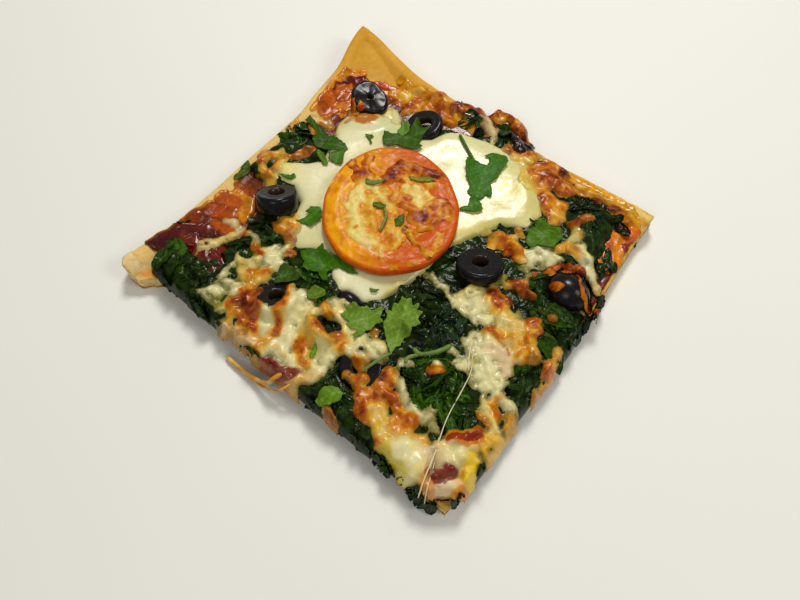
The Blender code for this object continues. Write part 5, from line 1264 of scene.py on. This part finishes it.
def make_tomato():
    """The slice: a disc with a rounded skin and wet, uneven flesh."""
    low, high = box_of("tomato_slice")
    cx = (low.x + high.x) / 2 + MIDDLE[0] + TOMATO_ASIDE[0]
    cy = (low.y + high.y) / 2 + MIDDLE[1] + TOMATO_ASIDE[1]
    z0, z1 = low.z, high.z
    n = 220
    bend = np.linspace(0, math.pi / 2, 8)
    shares = np.concatenate([np.linspace(0.0, 0.94, 60), 0.94 + 0.06 * np.sin(bend)[1:]])
    drops = np.concatenate([np.zeros(60), 0.45 * (1 - np.cos(bend))[1:]])
    profile = [(s, z1 - d * (z1 - z0)) for s, d in zip(shares, drops)]
    profile += [(1.0, z0 + (z1 - z0) * t) for t in (0.4, 0.25)] + [(0.985, z0 + 0.2), (0.9, z0)]
    angle = around(n)
    verts, tints = [], []
    wobble = oval(angle) + 0.014 * np.sin(3 * angle + 1.0) + 0.006 * np.sin(11 * angle)
    lit = smooth(np.cos(angle - math.radians(215)) * 1.1 + 0.3)
    for share, z in profile:
        x = cx + TOMATO_RADIUS * share * wobble * np.cos(angle)
        y = cy + TOMATO_RADIUS * share * wobble * np.sin(angle)
        relief = 0
        if share < 0.97 and z > z1 - 0.5:
            wall = 0.5 * math.exp(-(((share - 0.8) / 0.09) ** 2))
            dip = 0.35 * math.exp(-(((share - 0.6) / 0.06) ** 2))
            relief = 0.5 * rough(x, y, 6, 111) + 0.18 * rough(x, y, 1.8, 112) + (wall - dip)
        verts.append(np.stack([x, y, np.full(n, z) + relief], -1))
        flesh = mix((202, 98, 14), (238, 172, 40), lit)
        flesh = mix(flesh, (194, 94, 22), smooth(0.3 + 1.6 * rough(x, y, 5, 113)) * 0.6)
        flesh = mix(flesh, (222, 146, 44), smooth(0.1 + 1.6 * rough(x, y, 3.4, 114)) * 0.5)
        flesh = mix(flesh, (206, 90, 24), smooth((share - 0.93) / 0.04) * 0.7)
        tints.append(mix(flesh, (214, 138, 46), smooth((0.66 - share) / 0.1) * 0.6))
    faces = bands(numbered((len(profile), n)))[:, OVER]
    new_piece("tomato_round", np.concatenate(verts), faces, ["tomato_slice"], "tomato", np.concatenate(tints))
    reach = TOMATO_RADIUS * 0.975 * oval(np.arctan2(Y - cy, X - cx))
    return np.where(np.hypot(X - cx, Y - cy) < reach, z1, 0.0)


def make_toasted(on_tomato):
    """Toasted cheese on the tomato."""
    thick, tone, brown = drawn(TOASTED, TOAST_HEIGHT)
    colour, tops = browned(tone, brown, 121, 2.7)
    lace = smooth(0.66 + 1.7 * rough(X, Y, 3.6, 123))
    lace = np.maximum(lace, 0.75 * smooth(brown * 4 - 1.6))
    body = blur(thick * (0.25 + 0.85 * lace) + 0.25 * tops * smooth(brown * 2) * smooth(thick), 0.5)
    height = on_tomato + body - 0.25
    colour = mix(colour, (216, 122, 36), (1 - smooth((body - 0.16) / 0.6)) * 0.8)
    mask = (body > 0.16) & (on_tomato > 1)
    names = [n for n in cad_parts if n.startswith("toast")]
    field_piece("tomato_cheese", height, mask, names, "toast", colour)
    return np.where(mask, height, on_tomato)


# Olives that cheese has run over
UNDER_CHEESE = ("olive_5", "olive_6", "olive_7", "olive_end_2")
# Olive rings: heading and lean in degrees, width and size
RINGS = {
    "olive_1": (131, 32, 8.5, 1.06), "olive_2": (200, 12, 4.5, 1.0), "olive_3": (125, 22, 6.0, 1.16),
    "olive_4": (330, 12, 6.0, 1.0), "olive_5": (120, 24, 5.0, 1.0), "olive_6": (60, 32, 4.5, 1.0),
    "olive_7": (300, 16, 5.0, 1.0),
}


def ring_mesh(width, seed, hole, outer):
    """A sliced olive: rounded skin, slightly dished cut faces and a rough hole."""
    half = width / 2
    profile = (
        (hole, -half + 0.5), (hole + 0.4, -half), (outer - 1.6, -half + 0.15), (outer - 0.7, -half + 0.25),
        (outer - 0.15, -half * 0.6), (outer, 0.0), (outer - 0.15, half * 0.6), (outer - 0.7, half - 0.25),
        (outer - 1.6, half - 0.15), (outer - 2.8, half - 0.3), (hole + 1.2, half - 0.2), (hole + 0.4, half),
        (hole, half - 0.5), (hole - 0.2, 0.0),
    )
    n = 72
    angle = around(n)
    rows, tints = [], []
    for r, z in profile:
        ragged = 1 if r > hole + 1 else 3
        uneven = 1 + 0.03 * noise(np.cos(angle) * 2 + seed, np.sin(angle) * 2, 1.3, 131) * ragged
        level = np.full(n, z) + 0.12 * noise(angle * 3, r + angle * 0, 1.0, seed)
        rows.append(np.stack([r * uneven * np.cos(angle), r * uneven * np.sin(angle), level], -1))
        shade = (54, 40, 32) if r < hole + 0.2 else (20, 18, 22) if r > outer - 1.0 else (28, 26, 26)
        tints += [linear(shade)] * n
    index = numbered((len(profile), n))
    return np.concatenate(rows), bands(np.vstack([index, index[:1]])), np.array(tints)


def make_olives(ground, low_ones):
    """The olive rings and ends, those under the cheese or those over it."""
    everything = [ground]
    for number, (name, (heading, lean, width, size)) in enumerate(RINGS.items()):
        if (name in UNDER_CHEESE) != low_ones:
            continue
        low, high = box_of(name)
        middle = (low + high) / 2
        points, faces, tints = ring_mesh(width, number + 3, 1.3 if name == "olive_4" else 3.6, 8.8 * size)
        if name == "olive_4":
            a = np.arctan2(points[:, 1], points[:, 0])
            uneven = 1 + 0.12 * np.sin(2 * a + 0.6) + 0.05 * np.sin(3 * a) + 0.02 * np.sin(5 * a + 1)
            points[:, :2] *= uneven[:, None]
            points[:, 2] += 0.3 * np.sin(2 * a) + 0.06 * np.sin(5 * a)
        tilt = turn("Z", math.radians(heading)) @ turn("Y", math.radians(lean))
        points = points @ np.array(tilt).T + (middle.x + MIDDLE[0], middle.y + MIDDLE[1], middle.z)
        new_piece(name + "_ring", points, faces, [name], "olive", tints)
        everything.append(splat(np.zeros(X.shape), points))
    for name in ("olive_end_1", "olive_end_2"):
        if (name in UNDER_CHEESE) != low_ones:
            continue
        low, high = box_of(name)
        middle, size = (low + high) / 2, (high - low) / 2
        lat, lon = np.meshgrid(np.linspace(-0.3, math.pi / 2, 20), around(48), indexing="ij")
        bumpy = 1 + 0.03 * np.sin(3 * lon) * np.cos(lat)
        x = middle.x + MIDDLE[0] + size.x * np.cos(lat) * np.cos(lon) * bumpy
        y = middle.y + MIDDLE[1] + size.y * np.cos(lat) * np.sin(lon) * bumpy
        z = low.z + (high.z - low.z) * np.maximum(np.sin(lat), -0.1)
        points = np.stack([x, y, z], -1).reshape(-1, 3)
        new_piece(name + "_dome", points, bands(numbered(lat.shape)), [name], "olive", (24, 20, 24))
        everything.append(splat(np.zeros(X.shape), points))
    return np.maximum.reduce(everything)


def make_burnt(ground):
    """The burnt crisp on the back edge."""
    thick, _, _ = drawn(BURNT, SPINACH_HEIGHT)
    body = thick + 0.8 * rough(X, Y, 2.6, 151) * smooth(thick)
    colour = mix((34, 16, 12), (84, 34, 22), smooth(rough(X, Y, 3, 152)))
    height = blur(ground, 0.8) + body - 0.5
    field_piece("burnt_crisp", height, (body > 0.25) & (ground > 3), ["burnt_bit"], "burnt", colour)


def make_drops(ground):
    """Drops of browned cheese that lie on olives."""
    thick, tone, brown = drawn(DROPS, DROP_HEIGHT)
    colour, _ = browned(tone, brown, 141)
    body = blur(thick, 0.5)
    mask = body > 0.25
    height = np.maximum(blur(ground, 0.9), ground - 0.5) + body - 0.3
    field_piece("cheese_drops", height, mask, [], "toast", colour)
    return np.where(mask, np.maximum(height, ground), ground)


def make_leaf(number, outline, shade, ground, nodes):
    """A thin coriander leaf with toothed edges, veins and a slight curl, lying on what is below."""
    outline = [Vector(p) for p in outline]
    middle = sum(outline, Vector((0, 0))) / len(outline)
    sides = list(zip(outline, outline[1:] + outline[:1]))
    light = shade[0] > 90
    frill = 0.5 if light else 0.4
    turning = sum(a.x * b.y - b.x * a.y for a, b in sides)
    edge = []
    run = 0.0
    for a, b in sides:
        steps = max(2, round((b - a).length / 0.45))
        out = Vector(((b - a).y, (a - b).x)).normalized() * math.copysign(1, turning)
        for k in range(steps):
            place = run + (b - a).length * k / steps
            uneven = 0.7 + 0.9 * float(noise(np.array(place), np.array(number * 5.0), 4.0, 163))
            tooth = frill * uneven * (abs(math.sin(math.pi * place / 2.6)) ** 0.7 - 0.55)
            edge.append(a.lerp(b, k / steps) + out * tooth)
        run += (b - a).length
    low = Vector((min(p.x for p in edge), min(p.y for p in edge)))
    high = Vector((max(p.x for p in edge), max(p.y for p in edge)))
    gx, gy = np.meshgrid(np.arange(low.x, high.x, 0.8), np.arange(low.y, high.y, 0.8))
    gx = gx + 0.12 * np.sin(gy * 9)
    deep = inside(gx, gy, [(p.x, p.y) for p in edge]) > 0.35
    points = edge + [Vector(p) for p in zip(gx[deep], gy[deep])]
    made = delaunay_2d_cdt(points, [], [list(range(len(edge)))], 1, 1e-4)
    flat = np.array([(v.x, v.y) for v in made[0]])
    faces = [tuple(f) for f in made[2]]
    _, axes = np.linalg.eigh(np.cov(np.array([p - middle for p in outline]).T))
    local = flat - np.array(middle)
    u, v = local @ axes[:, 1], local @ axes[:, 0]
    length, wide = max(np.ptp(u), 1.0), max(np.ptp(v), 1.0)
    curl = 0.08 * wide * ((v / wide * 2) ** 2) + 0.5 * np.sin(u / length * 4 + number) * 0.6
    wave = 0.4 * rough(flat[:, 0] + number * 9, flat[:, 1], 4.0, 161)
    z = height_at(ground, flat[:, 0], flat[:, 1]) + 0.55 + np.maximum(curl + wave, -0.25)
    side_veins = np.abs(((np.abs(v) * 1.1 - u + 60) / 2.6) % 1.0 - 0.5) * 2.6
    vein = np.maximum(np.exp(-((v / 0.28) ** 2)), 0.7 * np.exp(-((side_veins / 0.2) ** 2)))
    z = z - 0.12 * vein
    verts = np.concatenate([np.column_stack([flat, z + HERB]), np.column_stack([flat, z])])
    count = len(flat)
    lines = dict.fromkeys((a, b) for f in faces for a, b in zip(f, f[1:] + f[:1]))
    full = faces + [tuple(i + count for i in reversed(f)) for f in faces]
    full += [(b, a, a + count, b + count) for a, b in lines if (b, a) not in lines]
    base = [c * k for c, k in zip(shade, (1.0, 0.98, 0.95) if light else (1.02, 0.9, 0.6))]
    pale = [min(255, c * 1.15 + 26) for c in shade]
    tint = mix(base, pale, vein * 0.65) * (1 + 0.14 * rough(flat[:, 0], flat[:, 1], 4, 162))[:, None]
    # The underside is drawn a fifth darker than the top: painted shade under the leaf
    new_piece(f"coriander_{number}", verts, full, nodes, "leaf", np.concatenate([tint, tint * 0.8]))


def tube(points, radius, sides=8):
    """A tube with closed ends along a smooth line through points in millimetres."""
    points = np.array(points, float)
    steps = np.linspace(0, len(points) - 1, len(points) * 6)
    dense = []
    for s in steps:
        k = min(int(s), len(points) - 2)
        t = s - k
        p0, p1, p2, p3 = (points[min(max(k + j, 0), len(points) - 1)] for j in (-1, 0, 1, 2))
        dense.append(0.5 * (2 * p1 + (p2 - p0) * t + (2 * p0 - 5 * p1 + 4 * p2 - p3) * t**2
                            + (3 * p1 - p0 - 3 * p2 + p3) * t**3))
    dense = np.array(dense)
    ahead = np.gradient(dense, axis=0)
    ahead /= np.linalg.norm(ahead, axis=1, keepdims=True)
    across = np.cross(ahead, (0, 0, 1.0))
    across /= np.maximum(np.linalg.norm(across, axis=1, keepdims=True), 1e-6)
    up = np.cross(across, ahead)
    angle = around(sides)
    taper = np.minimum(1.0, np.minimum(np.arange(len(dense)), np.arange(len(dense))[::-1]) / 3 + 0.35)
    radius = np.broadcast_to(radius, len(dense)) * taper * (1 + 0.12 * noise(steps * 3, steps, 1.0, 171))
    verts = dense[:, None] + radius[:, None, None] * (
        across[:, None] * np.cos(angle)[None, :, None] + up[:, None] * np.sin(angle)[None, :, None]
    )
    index = numbered((len(dense), sides))
    return verts.reshape(-1, 3), bands(index).tolist() + [index[0, ::-1].tolist(), index[-1].tolist()]


def make_strings(ground):
    """Coriander stems, cheese threads and the strands that hang over the front cut."""

    def lying(points, radius, gap):
        x, y = np.array(points).T
        return tube(np.stack([x, y, height_at(ground, x, y) + radius + gap], -1), radius)

    for number, (nodes, points, values) in enumerate(STEMS):
        radius, *shade = (float(v) for v in values.split())
        new_piece(f"stem_{number + 1}", *lying(places(points), radius, 0.2), nodes.split(), "leaf", shade)
    for number, (points, (radius,)) in enumerate(THREADS):
        new_piece(f"thread_{number + 1}", *lying(points, radius, 0.7), [], "cheese", (236, 226, 184))
    for number, (points, radius) in enumerate(STRANDS):
        verts, faces = tube(points, radius)
        tint = mix((228, 200, 132), (208, 152, 78), smooth(0.5 + noise(verts[:, 0], verts[:, 2], 3, 181)))
        new_piece(f"hanging_{number + 1}", verts, faces, [], "cheese", tint)


def make_stage():
    """A pale floor, soft studio light and the camera where the photograph was taken from."""
    mesh = bpy.data.meshes.new("floor")
    reach = 3.0
    corners = [(x * reach, y * reach, 0) for x, y in ((-1, -1), (1, -1), (1, 1), (-1, 1))]
    mesh.from_pydata(corners, [], [(0, 1, 2, 3)])
    floor = bpy.data.objects.new("floor", mesh)
    material, tree, shader = node_material("floor")
    shader.inputs["Roughness"].default_value = 0.6
    shades = tree.nodes.new("ShaderNodeValToRGB")
    shades.color_ramp.elements[0].color = (*linear((232, 232, 224)), 1)
    shades.color_ramp.elements[1].color = (*linear((236, 236, 228)), 1)
    cloud = add_node(tree, "TexNoise", "Fac", Scale=6.0, Vector=add_node(tree, "TexCoord", "Object"))
    tree.links.new(cloud, shades.inputs["Fac"])
    tree.links.new(shades.outputs["Color"], shader.inputs["Base Color"])
    mesh.materials.append(material)
    bpy.context.scene.collection.objects.link(floor)
    world = bpy.data.worlds.new("studio")
    world.use_nodes = True
    background = world.node_tree.nodes["Background"]
    background.inputs["Color"].default_value = (1.0, 0.985, 0.955, 1)
    background.inputs["Strength"].default_value = 0.23
    bpy.context.scene.world = world
    for name, place, energy, size in (
        ("key", (-0.35, 0.6, 1.05), 9.8, 0.3),
        ("side", (0.75, 0.25, 0.8), 2.7, 0.35),
        ("front", (0.2, -0.9, 0.9), 2.5, 0.5),
    ):
        light = bpy.data.lights.new(name, "AREA")
        light.energy = energy
        light.size = size
        light.color = (1.0, 0.975, 0.94)
        lamp = bpy.data.objects.new(name, light)
        lamp.location = place
        lamp.rotation_euler = (-Vector(place)).to_track_quat("-Z", "Y").to_euler()
        bpy.context.scene.collection.objects.link(lamp)
    right, up, back = (0.76484, 0.64409, -0.01309), (-0.56921, 0.68516, 0.45449), (0.30170, -0.34016, 0.89065)
    place = (0.11420, -0.13216, 0.29267)
    data = bpy.data.cameras.new("camera")
    data.lens = 33.75
    data.sensor_width = 36.0
    camera = bpy.data.objects.new("camera", data)
    camera.matrix_world = Matrix([(*row, 0) for row in (right, up, back)] + [(*place, 1)]).transposed()
    bpy.context.scene.collection.objects.link(camera)
    bpy.context.scene.camera = camera
    bpy.context.scene.view_settings.view_transform = "Standard"


def main():
    dough, out_by = make_crust()
    sauce, thick_sauce, under = make_sauce(dough, out_by)
    ground, plain, under = make_spinach(sauce, under, thick_sauce, out_by)
    ground, under = make_mozzarella(ground, under)
    ground = make_olives(ground, True)
    cheese, skin = make_cheese(ground, plain, under, out_by)
    tuck_leaves(skin)
    everything = np.maximum(cheese, make_toasted(make_tomato()))
    everything = make_olives(everything, False)
    make_burnt(everything)
    everything = make_drops(everything)
    soft = np.maximum(blur(everything, 1.0), everything - 0.6)
    for number, (nodes, outline, shade) in enumerate(LEAVES):
        outline = lifted(places(outline), HERB_HEIGHT)
        make_leaf(number + 1, outline, [float(v) for v in shade.split()], soft, nodes.split())
    make_strings(everything)
    make_stage()


main()
